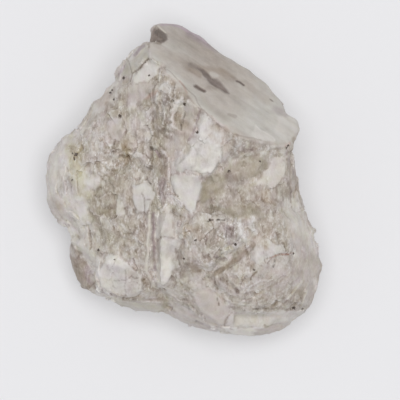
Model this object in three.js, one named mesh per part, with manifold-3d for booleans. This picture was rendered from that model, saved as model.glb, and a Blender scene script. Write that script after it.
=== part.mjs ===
// A rough diamond: one crystal, broken along its cleavage, resting on a flat break.
// Millimetres. +Z is up, +Y runs to the pointed end, z = 0 is the plane that the stone rests on,
// and the origin is in the middle of the stone's box, at the bottom.

import * as THREE from 'three';
import { ConvexGeometry } from 'three/addons/geometries/ConvexGeometry.js';
import { mergeVertices } from 'three/addons/utils/BufferGeometryUtils.js';
import Module from 'manifold-3d';

const wasm = await Module();
wasm.setup();

// Driving dimensions: the box around the stone.
const stoneWidth = 9.7; // along X
const stoneLength = 10.95; // along Y
const stoneHeight = 6.6; // along Z

// How rough the broken surface is.
const topSpacing = 0.24; // from one small peak to the next on top
const lumpSpacing = 0.55; // from one lump to the next on top
const lumpRise = 1.6; // height of a lump, in grains of its zone
const sideSpacing = 0.42; // the same on the underside
const sideGrain = 0.05; // height of the small peaks on the underside
const rimStep = 0.28; // from one nick to the next along the girdle
const rimNick = 0.035; // depth of those nicks
const seed = 41;

const colour = new THREE.Color('#b8b0a8');

// The girdle, clockwise from the tip: where the stone is widest, seen from above, with its height.
const girdle = [
  [-1.2, 5.25, 3.3], [-0.85, 5.47, 3.3], [-0.2, 5.45, 2.75], [0.55, 5.08, 2.5], [1.25, 4.47, 2.65],
  [2.3, 3.87, 2.45], [2.98, 3.3, 2.6], [3.45, 2.72, 2.95], [3.6, 2.3, 3.4], [3.93, 2.17, 3.3],
  [4.15, 1.87, 3.5], [4, 1.55, 4.05], [3.85, 1.3, 4.4], [3.83, 1, 4.3], [3.9, 0.4, 3.8],
  [4.02, -0.2, 3.5], [4.22, -0.9, 3.2], [4.48, -1.6, 3], [4.7, -2.3, 2.8], [4.85, -3, 2.6],
  [4.75, -3.55, 2.6], [4.52, -4.2, 2.4], [4.15, -4.7, 2.2], [3.4, -5.2, 2], [2.85, -5.37, 1.9],
  [2.25, -5.47, 1.9], [1.6, -5.35, 1.9], [0.9, -5.25, 2], [0.2, -5.05, 2.1], [-0.5, -4.7, 2],
  [-0.75, -4.6, 2.2], [-1.45, -4.57, 2], [-2.15, -4.4, 2], [-3.1, -3.97, 1.9], [-3.6, -3.75, 1.7],
  [-3.87, -3.2, 1.6], [-4.02, -2.6, 1.7], [-3.98, -1.95, 2.3], [-4.08, -1.65, 2.2],
  [-4.35, -1.52, 2.2], [-4.65, -1.15, 2.2], [-4.82, -0.6, 2.4], [-4.85, 0.15, 2.5],
  [-4.74, 0.83, 2.6], [-4.34, 1.38, 2.8], [-3.75, 1.87, 3], [-3.5, 2.2, 3], [-3.2, 2.75, 3.1],
  [-2.8, 3.02, 3.3], [-2.74, 3.2, 3.3], [-2.45, 3.47, 3.4], [-2.3, 3.95, 3.4], [-1.93, 4.42, 3.5],
  [-1.47, 4.73, 3.7], [-1.27, 4.8, 3.9],
];

// The large smooth cleavage face on the right of the tip, and the points where the rest of the
// top runs up to it. Its crest is the highest part of the stone.
const glassFace = { through: [1, 2.2, 6.45], dip: 61.7, toward: 54.8 };
const glassCrest = [
  [-1.25, 4.7], [-1, 4.15], [-0.6, 3.75], [-0.2, 3.5], [0.15, 3.1], [0.35, 2.85], [0.6, 2.5],
  [0.9, 2.3], [1.35, 1.95], [1.7, 1.65], [2.15, 1.5], [2.75, 1.4], [3.2, 1.35], [3.7, 1.3],
];

// The rest of the top, zone by zone. grain is how high the small peaks of a zone stand.
const zones = {
  tip: {
    grain: 0,
    points: [[-1.07, 5.15, 4.3], [-0.85, 5.3, 4], [-1.12, 4.92, 4.7]],
  },
  northFlank: {
    grain: 0.08,
    points: [
      [-1.15, 4.35, 5.3], [-0.65, 3.35, 5.75], [-1, 3.15, 5.5], [-0.95, 2.65, 5.35], [-1.25, 2.65, 5.2],
      [-0.4, 2.65, 6], [-0.1, 2.85, 6.15], [0.3, 2.7, 6.35], [0.4, 2.2, 6.2], [0.2, 1.65, 6.1],
      [-0.15, 1.45, 6], [-0.5, 1.8, 5.9], [-0.5, 2.3, 5.85], [-0.05, 2.25, 5.7],
    ],
  },
  shoulderStrip: {
    grain: 0.03,
    points: [
      [-2, 4.15, 4.15], [-1.75, 4.3, 4.6], [-1.6, 4.6, 4.4], [-1.2, 4.3, 5.35], [-1.55, 4, 5.25],
      [-1.9, 3.55, 4.45], [-2.3, 3.55, 3.65],
    ],
  },
  spine: {
    grain: 0.11,
    points: [
      [-1.55, 2.15, 5.1], [-1.1, 1.75, 5.25], [-1.55, 1.4, 5], [-1.7, 0.9, 4.9], [-1.2, 1.05, 5.15],
      [-1.45, 0.35, 4.9], [-0.95, 0.3, 5.3], [-0.75, -0.35, 5.5], [-0.65, 1.05, 5.6],
      [-0.4, 0.7, 5.7], [-0.85, 1.6, 5.5], [-2.05, 0.8, 4.35], [-2.3, 1.1, 4.8], [-1.8, 1.1, 5],
    ],
  },
  westLobe: {
    grain: 0.05,
    points: [
      [-4.4, 0.85, 3.3], [-4.5, 0.05, 3.4], [-4.4, -0.7, 3.1], [-4, 0.65, 3.8], [-3.8, -0.2, 3.95],
      [-4, -1.05, 3.3], [-3.7, 1.2, 3.8], [-3.35, 1.75, 3.8], [-3, 2.4, 3.9], [-2.5, 2.85, 4.2],
      [-2.15, 3.2, 4.5], [-2.3, 2.65, 4.6], [-3.1, 1.4, 4.4], [-2.8, 0.9, 4.6], [-3.35, 0.7, 4.3],
    ],
  },
  westHollow: {
    grain: 0.1,
    points: [
      [-3.2, 0.05, 4.25], [-2.75, 0.3, 4.6], [-2.15, 0.05, 4.85], [-3.35, -0.7, 4], [-2.75, -0.5, 4.4],
      [-2.2, -0.6, 4.8], [-3.3, -1.45, 3.6], [-2.75, -1.45, 4.2], [-2.25, -1.45, 4.65],
      [-2.3, -2.1, 4.35], [-2.85, -2.25, 3.8], [-1.85, -1.7, 4.85], [-1.9, -2.3, 4.5],
      [-1.45, -1.45, 4.9], [-1.5, -2.4, 4.45], [-1.5, -3, 4.1], [-1.2, -3.6, 3.7],
    ],
  },
  southWestFoot: {
    grain: 0.03,
    points: [
      [-3.95, -2.15, 2.7], [-3.7, -2.5, 2.9], [-3.25, -3, 3], [-3.1, -3.65, 2.7], [-3.55, -3.55, 2],
      [-3.75, -3.05, 2], [-2.15, -4.2, 3.1], [-1.55, -4.2, 3.25], [-0.95, -4.25, 3.1],
    ],
  },
  mainGroove: {
    grain: 0.03,
    points: [
      [-1.05, -1.45, 4.9], [-1.05, -2.3, 4.4], [-1.05, -3.2, 4], [-0.8, -4, 3.3], [-0.65, -4.3, 2.9],
      [-0.5, -3.95, 3.7], [-0.15, -3.9, 4.2],
    ],
  },
  cushion: {
    grain: 0.11,
    points: [
      [-0.15, -1.45, 5.55], [0, -1.9, 5.8], [0.05, -2.6, 5.5], [0.35, -1.35, 6], [1.05, -1.25, 5.95],
      [1.9, -1.45, 5.85], [2.2, -1.9, 5.75], [1.6, -2.5, 5.85], [1, -2.95, 5.65], [0.6, -2.85, 5.6],
      [1.05, -2.1, 6.15], [0.55, -2.15, 6], [1.6, -1.95, 6.1], [-0.2, -2.5, 5], [-0.1, -3.5, 4.75],
    ],
  },
  trench: {
    grain: 0.02,
    points: [[2.3, -2.15, 5.35], [1.95, -2.5, 5.15], [1.6, -2.8, 5.05], [1.15, -3.2, 4.85]],
  },
  knuckle: {
    grain: 0.08,
    points: [[1.35, -3.45, 5.1], [1.9, -3, 5.35], [2.3, -3.25, 5.3], [2.05, -3.7, 5], [1.6, -3.8, 4.75]],
  },
  valley: {
    grain: 0.06,
    points: [
      [1, -0.9, 5.5], [1.55, -0.75, 5.5], [2.25, -0.65, 5.3], [2.95, -0.65, 5.1], [3.65, -0.55, 4.5],
      [1.95, -1, 5.6], [2.75, -1.1, 5.5], [1.45, 0.9, 6.05], [1.8, 1.2, 6.2], [2.6, 1.1, 5.75],
      [3.4, 1.05, 5.25], [3.8, 0.3, 4.5], [3.8, -0.2, 4.5],
    ],
  },
  eastShoulder: {
    grain: 0.05,
    points: [
      [3.45, -1.2, 4.9], [4, -1.35, 4.2], [3.1, -1.45, 5.3], [3.8, -2.05, 4.8], [4.25, -2.1, 4],
      [4.15, -2.85, 4.2], [4.5, -2.9, 3.5], [3.65, -2.85, 4.9], [3.2, -3.35, 4.9], [3.75, -3.55, 4.4],
      [4.15, -3.7, 3.7], [2.75, -3.5, 5], [2.45, -4, 4.5], [3.1, -4, 4.4], [3.7, -4.2, 3.8],
      [1.95, -4.25, 4.35], [2.75, -4.35, 4.1], [4.15, -4.3, 3.1],
    ],
  },
  southLip: {
    grain: 0.03,
    points: [
      [-0.15, -4.4, 3.5], [0.4, -4.7, 3.3], [1, -5.05, 3.1], [1.3, -5.15, 2.6], [1.8, -5.2, 2.8],
      [2.8, -5.15, 2.95], [3.6, -4.9, 2.85],
    ],
  },
};

// Flat cleavage plates in the rough surface. level is the height in the middle of the outline, and
// fall how much the plate drops per millimetre towards +X and +Y.
const plates = {
  shoulderPlate: {
    level: 5.1,
    fall: [-0.65, 0.1],
    outline: [
      [-1.8, 3.45], [-1.6, 3.9], [-1.2, 4.05], [-0.8, 3.85], [-0.95, 3.5], [-1.3, 3.2], [-1.8, 2.9],
    ],
  },
  leftPlate: {
    level: 4.7,
    fall: [-0.5, 0.05],
    outline: [[-2.75, 2.05], [-2.5, 2.2], [-2.05, 2.2], [-2.05, 1.75], [-2.1, 1.35], [-2.5, 1.4]],
  },
  crownPlate: {
    level: 6.3,
    fall: [0.03, -0.06],
    outline: [
      [0.7, 2.2], [1, 2.05], [1.25, 1.75], [1.35, 1.35], [1.3, 0.75], [0.95, 0.2], [0.5, 0.15],
      [0.05, 0.4], [-0.25, 0.45], [0.15, 0.9], [0.4, 1.3], [0.5, 1.8],
    ],
  },
  middlePlate: {
    level: 5.95,
    fall: [0, -0.1],
    outline: [
      [-0.4, 0.15], [0.15, 0.3], [0.65, -0.05], [0.55, -0.45], [0.5, -0.9], [0.25, -1.2], [0, -0.95],
      [-0.25, -0.6],
    ],
  },
  smallPlate: {
    level: 5.1,
    fall: [-0.3, -0.05],
    outline: [
      [-1.8, -0.25], [-1.45, -0.1], [-1.1, -0.3], [-1.15, -0.75], [-1.3, -1.1], [-1.6, -1.1],
      [-1.8, -0.65],
    ],
  },
  saddleFace: {
    level: 5.65,
    fall: [0.3, -0.2],
    outline: [
      [0.8, 0], [1.2, 0.35], [1.65, 0.65], [2.25, 0.75], [2.75, 0.65], [2.5, 0.2], [2.15, -0.05],
      [1.45, -0.15], [0.85, -0.5],
    ],
  },
  eastPlate: {
    level: 5.05,
    fall: [0.45, -0.05],
    outline: [[3.1, 0.8], [3.5, 0.75], [3.6, 0.4], [3.45, 0], [3.2, -0.15], [2.55, -0.15], [2.85, 0.25]],
  },
  slab: {
    level: 5.2,
    fall: [0.15, -0.35],
    outline: [
      [-0.75, -0.9], [-0.45, -1], [-0.4, -1.7], [-0.15, -2.1], [-0.3, -2.85], [-0.45, -3.35],
      [-0.7, -3.7], [-0.9, -3.5], [-0.9, -2.45], [-0.95, -1.95], [-0.9, -1.25],
    ],
  },
  southWestPlate: {
    level: 3.9,
    fall: [-0.25, -0.45],
    outline: [
      [-3, -3.15], [-2.7, -2.8], [-2.3, -2.55], [-1.9, -2.9], [-1.45, -3.35], [-1.45, -3.8],
      [-2.1, -4.1], [-2.55, -3.9], [-2.9, -3.65],
    ],
  },
  southEastPlate: {
    level: 5.35,
    fall: [0.3, -0.1],
    outline: [
      [2.4, -2.3], [2.65, -2.05], [3.1, -1.9], [3.3, -2.15], [3.55, -2.45], [3.2, -2.6], [3, -2.8],
      [2.75, -3.1], [2.5, -2.95],
    ],
  },
  rib: {
    level: 4.85,
    fall: [0.4, -0.5],
    outline: [[-1.27, -1.05], [-1.13, -1.1], [-1.15, -2.2], [-1.17, -3.1], [-1.3, -3.05], [-1.29, -2.1]],
  },
  footPlate: {
    level: 4.8,
    fall: [0, -0.5],
    outline: [[0.2, -3.3], [0.7, -3.2], [1, -3.5], [0.75, -3.75], [0.3, -3.8]],
  },
  southSlab: {
    level: 4.05,
    fall: [0.1, -0.85],
    outline: [
      [0.3, -3.9], [0.8, -3.85], [1.2, -4], [1.65, -4.4], [1.6, -4.7], [1.35, -5], [1, -4.95],
      [0.65, -4.65], [0.45, -4.3],
    ],
  },
};
const plateBevel = 0.03;
const plateDepth = 0.3;
const plateStand = 0.08; // how far a plate stands above the rough surface round it

// Cracks and troughs: a path along the surface, its width and its depth.
const grooves = {
  mainGroove: {
    width: 0.14,
    depth: 0.3,
    path: [[-0.85, -0.3, 5.5], [-0.98, -1.1, 5.1], [-1, -2.2, 4.6], [-0.98, -3.2, 4.2], [-0.75, -4.1, 3.2]],
  },
  plateCrack: {
    width: 0.09,
    depth: 0.25,
    path: [[-0.45, 0.25, 5.9], [0, 0.32, 6.25], [0.35, 0.15, 6.2], [0.65, 0.02, 6.1]],
  },
  diagonalTrough: {
    width: 0.2,
    depth: 0.2,
    path: [[2.3, -2.1, 5.4], [1.8, -2.6, 5.2], [1.15, -3.15, 4.9]],
  },
};

// Flat breaks round the underside: which way each faces, how steeply it leans in under the girdle,
// and how far from the middle it crosses the height breakLevel.
const breakLevel = 1.2;
const underBreaks = [
  { toward: 176, dip: 128, reach: 4 },
  { toward: 207, dip: 140, reach: 4.4 },
  { toward: 232, dip: 145, reach: 4.5 },
  { toward: 266, dip: 134, reach: 4.7 },
  { toward: 291, dip: 139, reach: 5.25 },
  { toward: 318, dip: 140, reach: 5.2 },
  { toward: 352, dip: 140, reach: 3.75 },
  { toward: 22, dip: 109, reach: 3.85 },
  { toward: 52, dip: 121, reach: 3.95 },
  { toward: 88, dip: 129, reach: 4.35 },
  { toward: 124, dip: 121, reach: 3.8 },
  { toward: 150, dip: 124, reach: 3.55 },
];

// Flat breaks and steps on the upper flanks and under the girdle. Each takes away what lies outside
// all of its planes at once, so one plane leaves a flat face and two leave a step.
const breaks = {
  tipFacet: [
    { through: [-0.8, 5.1, 4.05], dip: 60, toward: 155 },
    { through: [-1, 4.75, 4], dip: 90, toward: 72 },
  ],
  northWestFlank: [
    { through: [-1.98, 4.28, 3.88], dip: 68, toward: 142 },
    { through: [-1.9, 3.75, 4], dip: 90, toward: 75 },
  ],
  lobeWestFace: [
    { through: [-4.35, 0.1, 3.3], dip: 46, toward: 178 },
    { through: [-4.4, -0.5, 3], dip: 90, toward: 98 },
  ],
  westFlake: [
    { through: [-3.5, -2.45, 2.9], dip: 72, toward: 220 },
    { through: [-3.6, -3, 2.3], dip: 33, toward: 232 },
    { through: [-3.05, -3, 2.5], dip: 90, toward: 178 },
  ],
  southWestLip: [
    { through: [-1.6, -4.15, 3.4], dip: 78, toward: 262 },
    { through: [-1.6, -4.35, 2.9], dip: 18, toward: 262 },
    { through: [-0.85, -4.3, 3], dip: 90, toward: 180 },
  ],
  southLip: [
    { through: [0.2, -4.5, 3.4], dip: 76, toward: 246 },
    { through: [0.2, -4.6, 3], dip: 22, toward: 246 },
    { through: [-0.6, -4.5, 3], dip: 90, toward: 0 },
    { through: [1.2, -5, 3], dip: 90, toward: 180 },
  ],
  southEastLip: [
    { through: [2.8, -4.6, 3.6], dip: 79, toward: 269 },
    { through: [2.8, -4.85, 3.05], dip: 20, toward: 266 },
    { through: [1.75, -4.9, 3], dip: 90, toward: 0 },
  ],
  southEastFlank: [{ through: [4, -4.2, 3.4], dip: 56, toward: 322 }],
  eastFlank: [
    { through: [4.45, -2.5, 3.5], dip: 60, toward: 354 },
    { through: [4, -1.2, 3.5], dip: 90, toward: 270 },
  ],
  eastWall: [
    { through: [3.9, 0.2, 4], dip: 70, toward: 4 },
    { through: [3.9, -0.9, 4], dip: 90, toward: 90 },
    { through: [3.8, 1, 4], dip: 90, toward: 270 },
  ],
  eastUndercut: [
    { through: [3.1, -0.6, 1], dip: 82, toward: 12 },
    { through: [3.3, -0.6, 1.7], dip: 152, toward: 40 },
    { through: [3.2, -2, 1], dip: 80, toward: 118 },
    { through: [3.4, 1.6, 1], dip: 86, toward: 262 },
  ],
  northUndercut: [
    { through: [0.9, 3.2, 1], dip: 84, toward: 66 },
    { through: [1.1, 3.5, 1.35], dip: 150, toward: 100 },
    { through: [-0.3, 3.7, 1], dip: 86, toward: 330 },
  ],
  westUndercut: [
    { through: [-3, 0.3, 1], dip: 80, toward: 168 },
    { through: [-3.3, 0.3, 1.2], dip: 148, toward: 205 },
    { through: [-3.3, -0.9, 1], dip: 84, toward: 70 },
  ],
  southUndercut: [
    { through: [0.2, -3.5, 0.8], dip: 84, toward: 254 },
    { through: [0.2, -3.9, 0.7], dip: 152, toward: 290 },
    { through: [1.6, -4, 0.8], dip: 82, toward: 200 },
  ],
};

// Chips broken off the corners of the underside.
const chips = { count: 34, spacing: 0.9, size: 0.8, depth: 0.1, lowest: 0.3, highest: 1.1 };

function makeRandom(state) {
  return () => {
    state = (state + 0x6d2b79f5) | 0;
    let mixed = Math.imul(state ^ (state >>> 15), 1 | state);
    mixed = (mixed + Math.imul(mixed ^ (mixed >>> 7), 61 | mixed)) ^ mixed;
    return ((mixed ^ (mixed >>> 14)) >>> 0) / 4294967296;
  };
}

const random = makeRandom(seed);
const jitter = (size) => (random() * 2 - 1) * size;
const flatDistance = (a, b) => Math.hypot(a[0] - b[0], a[1] - b[1]);

// Delaunay triangles of points seen from above, anticlockwise, by adding the points one at a time.
function triangulate(points) {
  const far = 1000;
  const all = [...points, [-far, -far], [far, -far], [0, far]];
  const count = points.length;
  const withCircle = (a, b, c) => {
    const [ax, ay] = all[a];
    const bx = all[b][0] - ax;
    const by = all[b][1] - ay;
    const cx = all[c][0] - ax;
    const cy = all[c][1] - ay;
    const twice = 2 * (bx * cy - by * cx);
    const ux = (cy * (bx * bx + by * by) - by * (cx * cx + cy * cy)) / twice;
    const uy = (bx * (cx * cx + cy * cy) - cx * (bx * bx + by * by)) / twice;
    return { corners: [a, b, c], x: ax + ux, y: ay + uy, reach: ux * ux + uy * uy };
  };
  let triangles = [withCircle(count, count + 1, count + 2)];
  for (let i = 0; i < count; i++) {
    const [x, y] = points[i];
    const kept = [];
    const edges = new Map();
    for (const triangle of triangles) {
      if ((x - triangle.x) ** 2 + (y - triangle.y) ** 2 >= triangle.reach) {
        kept.push(triangle);
        continue;
      }
      const [a, b, c] = triangle.corners;
      for (const [from, to] of [[a, b], [b, c], [c, a]]) {
        if (!edges.delete(`${to},${from}`)) edges.set(`${from},${to}`, [from, to]);
      }
    }
    for (const [from, to] of edges.values()) kept.push(withCircle(from, to, i));
    triangles = kept;
  }
  return triangles.map((triangle) => triangle.corners).filter((corners) => Math.max(...corners) < count);
}

function isInside([x, y], outline) {
  let inside = false;
  for (let i = 0; i < outline.length; i++) {
    const a = outline[i];
    const b = outline[(i + 1) % outline.length];
    const crosses = a[1] > y !== b[1] > y;
    if (crosses && x < a[0] + ((y - a[1]) * (b[0] - a[0])) / (b[1] - a[1])) inside = !inside;
  }
  return inside;
}

// The height and grain of a coarse surface at any place, from the triangle under that place.
function makeSurface(points) {
  const triangles = triangulate(points);
  return (x, y) => {
    for (const corners of triangles) {
      const [a, b, c] = corners.map((corner) => points[corner]);
      const whole = (b[0] - a[0]) * (c[1] - a[1]) - (b[1] - a[1]) * (c[0] - a[0]);
      const weightB = ((x - a[0]) * (c[1] - a[1]) - (y - a[1]) * (c[0] - a[0])) / whole;
      const weightC = ((b[0] - a[0]) * (y - a[1]) - (b[1] - a[1]) * (x - a[0])) / whole;
      const weightA = 1 - weightB - weightC;
      if (Math.min(weightA, weightB, weightC) < -1e-9) continue;
      return [2, 3].map((axis) => weightA * a[axis] + weightB * b[axis] + weightC * c[axis]);
    }
    return null;
  };
}

function planeNormal({ dip, toward }) {
  const tilt = THREE.MathUtils.degToRad(dip);
  const turn = THREE.MathUtils.degToRad(toward);
  return new THREE.Vector3(Math.sin(tilt) * Math.cos(turn), Math.sin(tilt) * Math.sin(turn), Math.cos(tilt));
}

function planeHeight(plane, x, y) {
  const normal = planeNormal(plane);
  const [px, py, pz] = plane.through;
  return pz - (normal.x * (x - px) + normal.y * (y - py)) / normal.z;
}

function plateHeight({ level, fall, outline }, x, y) {
  const middleX = outline.reduce((sum, point) => sum + point[0], 0) / outline.length;
  const middleY = outline.reduce((sum, point) => sum + point[1], 0) / outline.length;
  return level - fall[0] * (x - middleX) - fall[1] * (y - middleY);
}

// The girdle again, with small nicks along it.
function nickedGirdle() {
  const points = [];
  girdle.forEach((from, i) => {
    const to = girdle[(i + 1) % girdle.length];
    const span = flatDistance(from, to);
    const steps = Math.ceil(span / rimStep);
    points.push([...from, 0]);
    for (let step = 1; step < steps; step++) {
      const share = step / steps;
      const inward = jitter(rimNick);
      const x = from[0] + (to[0] - from[0]) * share + ((to[1] - from[1]) / span) * -inward;
      const y = from[1] + (to[1] - from[1]) * share + ((to[0] - from[0]) / span) * inward;
      points.push([x, y, from[2] + (to[2] - from[2]) * share + jitter(rimNick), 0]);
    }
  });
  return points;
}

// Fills the outline with seeded points between the fixed ones, on their surface and its grain. Steep
// places take as many points for their real size as flat ones.
function scatter(fixed, outline, spacing, roughness, clear) {
  const tries = 14000;
  const rimGap = 0.17;
  const leastApart = 0.11;
  const surface = makeSurface(fixed);
  const points = [...fixed];
  const isClose = (a, b) => {
    const apart = flatDistance(a, b);
    return apart < leastApart || Math.hypot(apart, a[2] - b[2]) < spacing;
  };
  const xs = outline.map((point) => point[0]);
  const ys = outline.map((point) => point[1]);
  const box = [Math.min(...xs), Math.max(...xs), Math.min(...ys), Math.max(...ys)];
  for (let i = 0; i < tries; i++) {
    const x = box[0] + random() * (box[1] - box[0]);
    const y = box[2] + random() * (box[3] - box[2]);
    const place = [x, y];
    if (!isInside(place, outline) || clear(x, y)) continue;
    if (outline.some((point) => flatDistance(point, place) < rimGap)) continue;
    const found = surface(x, y);
    if (!found) continue;
    const [height, grain] = found;
    if (points.some((point) => isClose([x, y, height], point))) continue;
    points.push([x, y, height + jitter(grain * roughness), grain]);
  }
  return points;
}

function topPoints(rim) {
  const fixed = [...rim];
  for (const [x, y] of glassCrest) fixed.push([x, y, planeHeight(glassFace, x, y), 0.02]);
  for (const { points, grain } of Object.values(zones)) {
    for (const point of points) fixed.push([...point, grain]);
  }
  const overGlass = 0.35;
  const glassMiddle = [[-0.2, 4.6], [0.7, 3.7], [1.5, 3], [2.3, 2.5], [3.1, 2]];
  for (const [x, y] of glassMiddle) fixed.push([x, y, planeHeight(glassFace, x, y) + overGlass, 0]);
  for (const plate of Object.values(plates)) {
    for (const [x, y] of plate.outline) fixed.push([x, y, plateHeight(plate, x, y) - plateStand, 0.03]);
  }
  const outlines = Object.values(plates).map((plate) => plate.outline);
  const underPlate = (x, y) => outlines.some((outline) => isInside([x, y], outline));
  const lumpy = scatter(fixed, rim, lumpSpacing, lumpRise, underPlate);
  return scatter(lumpy, rim, topSpacing, 1, underPlate);
}

function undersidePoints(rim) {
  const rings = [
    { scale: 0.95, drop: 0.7, share: 1 },
    { scale: 0.8, drop: 0.1, share: 0.2 },
    { scale: 0.5, drop: 0.4, share: 0 },
  ];
  const fixed = [...rim, [0, 0, -0.4, 0]];
  for (const { scale, drop, share } of rings) {
    for (const [x, y, z] of girdle) {
      const place = [x * scale, y * scale];
      const near = fixed.some((point) => flatDistance(point, place) < sideSpacing / 2);
      if (isInside(place, rim) && !near) fixed.push([...place, z * share - drop, sideGrain]);
    }
  }
  return scatter(fixed, rim, sideSpacing, 1, () => false);
}

function solidFrom(geometry) {
  const bare = geometry.index ? geometry.toNonIndexed() : geometry.clone();
  bare.deleteAttribute('normal');
  bare.deleteAttribute('uv');
  const merged = mergeVertices(bare, 1e-4);
  const vertProperties = new Float32Array(merged.attributes.position.array);
  const triVerts = new Uint32Array(merged.index.array);
  return new wasm.Manifold(new wasm.Mesh({ numProp: 3, vertProperties, triVerts }));
}

// The stone before it is cleaved: its top and its underside, joined along the girdle.
function roughBlock() {
  const rim = nickedGirdle();
  const corners = [];
  const addSheet = (points, order) => {
    for (const triangle of triangulate(points)) {
      const [a, b, c] = triangle.map((corner) => points[corner]);
      const middle = [(a[0] + b[0] + c[0]) / 3, (a[1] + b[1] + c[1]) / 3];
      if (!isInside(middle, rim)) continue;
      for (const corner of order) corners.push(...[a, b, c][corner].slice(0, 3));
    }
  };
  addSheet(topPoints(rim), [0, 1, 2]);
  addSheet(undersidePoints(rim), [2, 1, 0]);
  const geometry = new THREE.BufferGeometry();
  geometry.setAttribute('position', new THREE.Float32BufferAttribute(corners, 3));
  return solidFrom(geometry);
}

// Everything on the outer side of a cleavage plane.
function outside(plane) {
  const size = 40;
  const block = new THREE.BoxGeometry(size, size, size);
  block.translate(0, 0, size / 2);
  const up = new THREE.Vector3(0, 0, 1);
  block.applyQuaternion(new THREE.Quaternion().setFromUnitVectors(up, planeNormal(plane)));
  block.translate(...plane.through);
  return solidFrom(block);
}

function plateSolid(plate) {
  const shape = new THREE.Shape(plate.outline.map(([x, y]) => new THREE.Vector2(x, y)));
  const geometry = new THREE.ExtrudeGeometry(shape, {
    depth: plateDepth,
    bevelThickness: plateBevel,
    bevelSize: plateBevel,
    bevelOffset: -plateBevel,
    bevelSegments: 1,
  });
  const position = geometry.attributes.position;
  const drop = plateDepth + plateBevel;
  for (let i = 0; i < position.count; i++) {
    const top = plateHeight(plate, position.getX(i), position.getY(i));
    position.setZ(i, position.getZ(i) + top - drop);
  }
  return solidFrom(geometry);
}

// A V-shaped cut along a path, wider above the surface than in it.
function grooveSolid({ width, depth, path }) {
  const rise = 0.6;
  const flare = (width / 2) * (1 + rise / depth);
  const station = ([x, y, z], sideX, sideY) => [
    new THREE.Vector3(x + sideX * flare, y + sideY * flare, z + rise),
    new THREE.Vector3(x - sideX * flare, y - sideY * flare, z + rise),
    new THREE.Vector3(x, y, z - depth),
  ];
  let cut = null;
  for (let i = 1; i < path.length; i++) {
    const [from, to] = [path[i - 1], path[i]];
    const span = flatDistance(from, to);
    const sideX = (to[1] - from[1]) / span;
    const sideY = (from[0] - to[0]) / span;
    const ends = [...station(from, sideX, sideY), ...station(to, sideX, sideY)];
    const piece = solidFrom(new ConvexGeometry(ends));
    cut = cut ? cut.add(piece) : piece;
  }
  return cut;
}

// A flat-bottomed block that slices a corner off, a little below its point.
function chipSolid(corner, outward, depth) {
  const sides = 7;
  const rise = 1;
  const turn = new THREE.Quaternion().setFromUnitVectors(new THREE.Vector3(0, 0, 1), outward);
  const points = [];
  for (let i = 0; i < sides; i++) {
    const angle = ((i + random() * 0.6) / sides) * 2 * Math.PI;
    for (const [height, flare] of [[-depth, 1], [rise, 2.2]]) {
      const reach = chips.size * flare;
      const point = new THREE.Vector3(reach * Math.cos(angle), reach * Math.sin(angle), height);
      points.push(point.applyQuaternion(turn).add(corner));
    }
  }
  return solidFrom(new ConvexGeometry(points));
}

function chipCorners(stone) {
  const { vertProperties } = stone.getMesh();
  const corners = [];
  for (let i = 0; i < vertProperties.length; i += 3) {
    const corner = new THREE.Vector3().fromArray(vertProperties, i);
    if (corner.z > chips.lowest && corner.z < chips.highest) corners.push(corner);
  }
  const middle = new THREE.Vector3(0, 0, stoneHeight / 2);
  const taken = [];
  let chipped = stone;
  while (taken.length < chips.count && corners.length > 0) {
    const [corner] = corners.splice(Math.floor(random() * corners.length), 1);
    if (taken.some((other) => other.distanceTo(corner) < chips.spacing)) continue;
    taken.push(corner);
    const lean = new THREE.Vector3(jitter(0.3), jitter(0.3), jitter(0.3));
    const outward = corner.clone().sub(middle).normalize().add(lean).normalize();
    chipped = chipped.subtract(chipSolid(corner, outward, chips.depth * (0.5 + random())));
  }
  return chipped;
}

// The stone with every plate, groove, break and chip. Loose crumbs that the breaks leave are dropped.
function cleavedStone() {
  let stone = roughBlock();
  for (const plate of Object.values(plates)) stone = stone.add(plateSolid(plate));
  for (const groove of Object.values(grooves)) stone = stone.subtract(grooveSolid(groove));
  stone = stone.subtract(outside(glassFace));
  for (const planes of Object.values(breaks)) {
    const beyondAll = planes.map(outside).reduce((kept, next) => kept.intersect(next));
    stone = stone.subtract(beyondAll);
  }
  for (const { toward, dip, reach } of underBreaks) {
    const turn = THREE.MathUtils.degToRad(toward);
    const through = [reach * Math.cos(turn), reach * Math.sin(turn), breakLevel];
    stone = stone.subtract(outside({ through, dip, toward }));
  }
  stone = chipCorners(stone);
  stone = stone.subtract(outside({ through: [0, 0, 0], dip: 180, toward: 0 }));
  const pieces = stone.decompose();
  return pieces.reduce((largest, piece) => (piece.volume() > largest.volume() ? piece : largest));
}

// The finished stone, brought to its driving dimensions and stood on the origin.
function stoneGeometry() {
  const mesh = cleavedStone().getMesh();
  const geometry = new THREE.BufferGeometry();
  geometry.setAttribute('position', new THREE.Float32BufferAttribute(mesh.vertProperties, 3));
  geometry.setIndex([...mesh.triVerts]);
  geometry.computeBoundingBox();
  const middle = geometry.boundingBox.getCenter(new THREE.Vector3());
  const size = geometry.boundingBox.getSize(new THREE.Vector3());
  geometry.translate(-middle.x, -middle.y, -geometry.boundingBox.min.z);
  geometry.scale(stoneWidth / size.x, stoneLength / size.y, stoneHeight / size.z);
  return geometry;
}

const stone = new THREE.Mesh(
  stoneGeometry(),
  new THREE.MeshStandardMaterial({ color: colour, roughness: 0.35, metalness: 0, flatShading: true }),
);
stone.name = 'rough_diamond';

const roughDiamond = new THREE.Group();
roughDiamond.add(stone);

export default roughDiamond;
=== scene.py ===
import math

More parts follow.
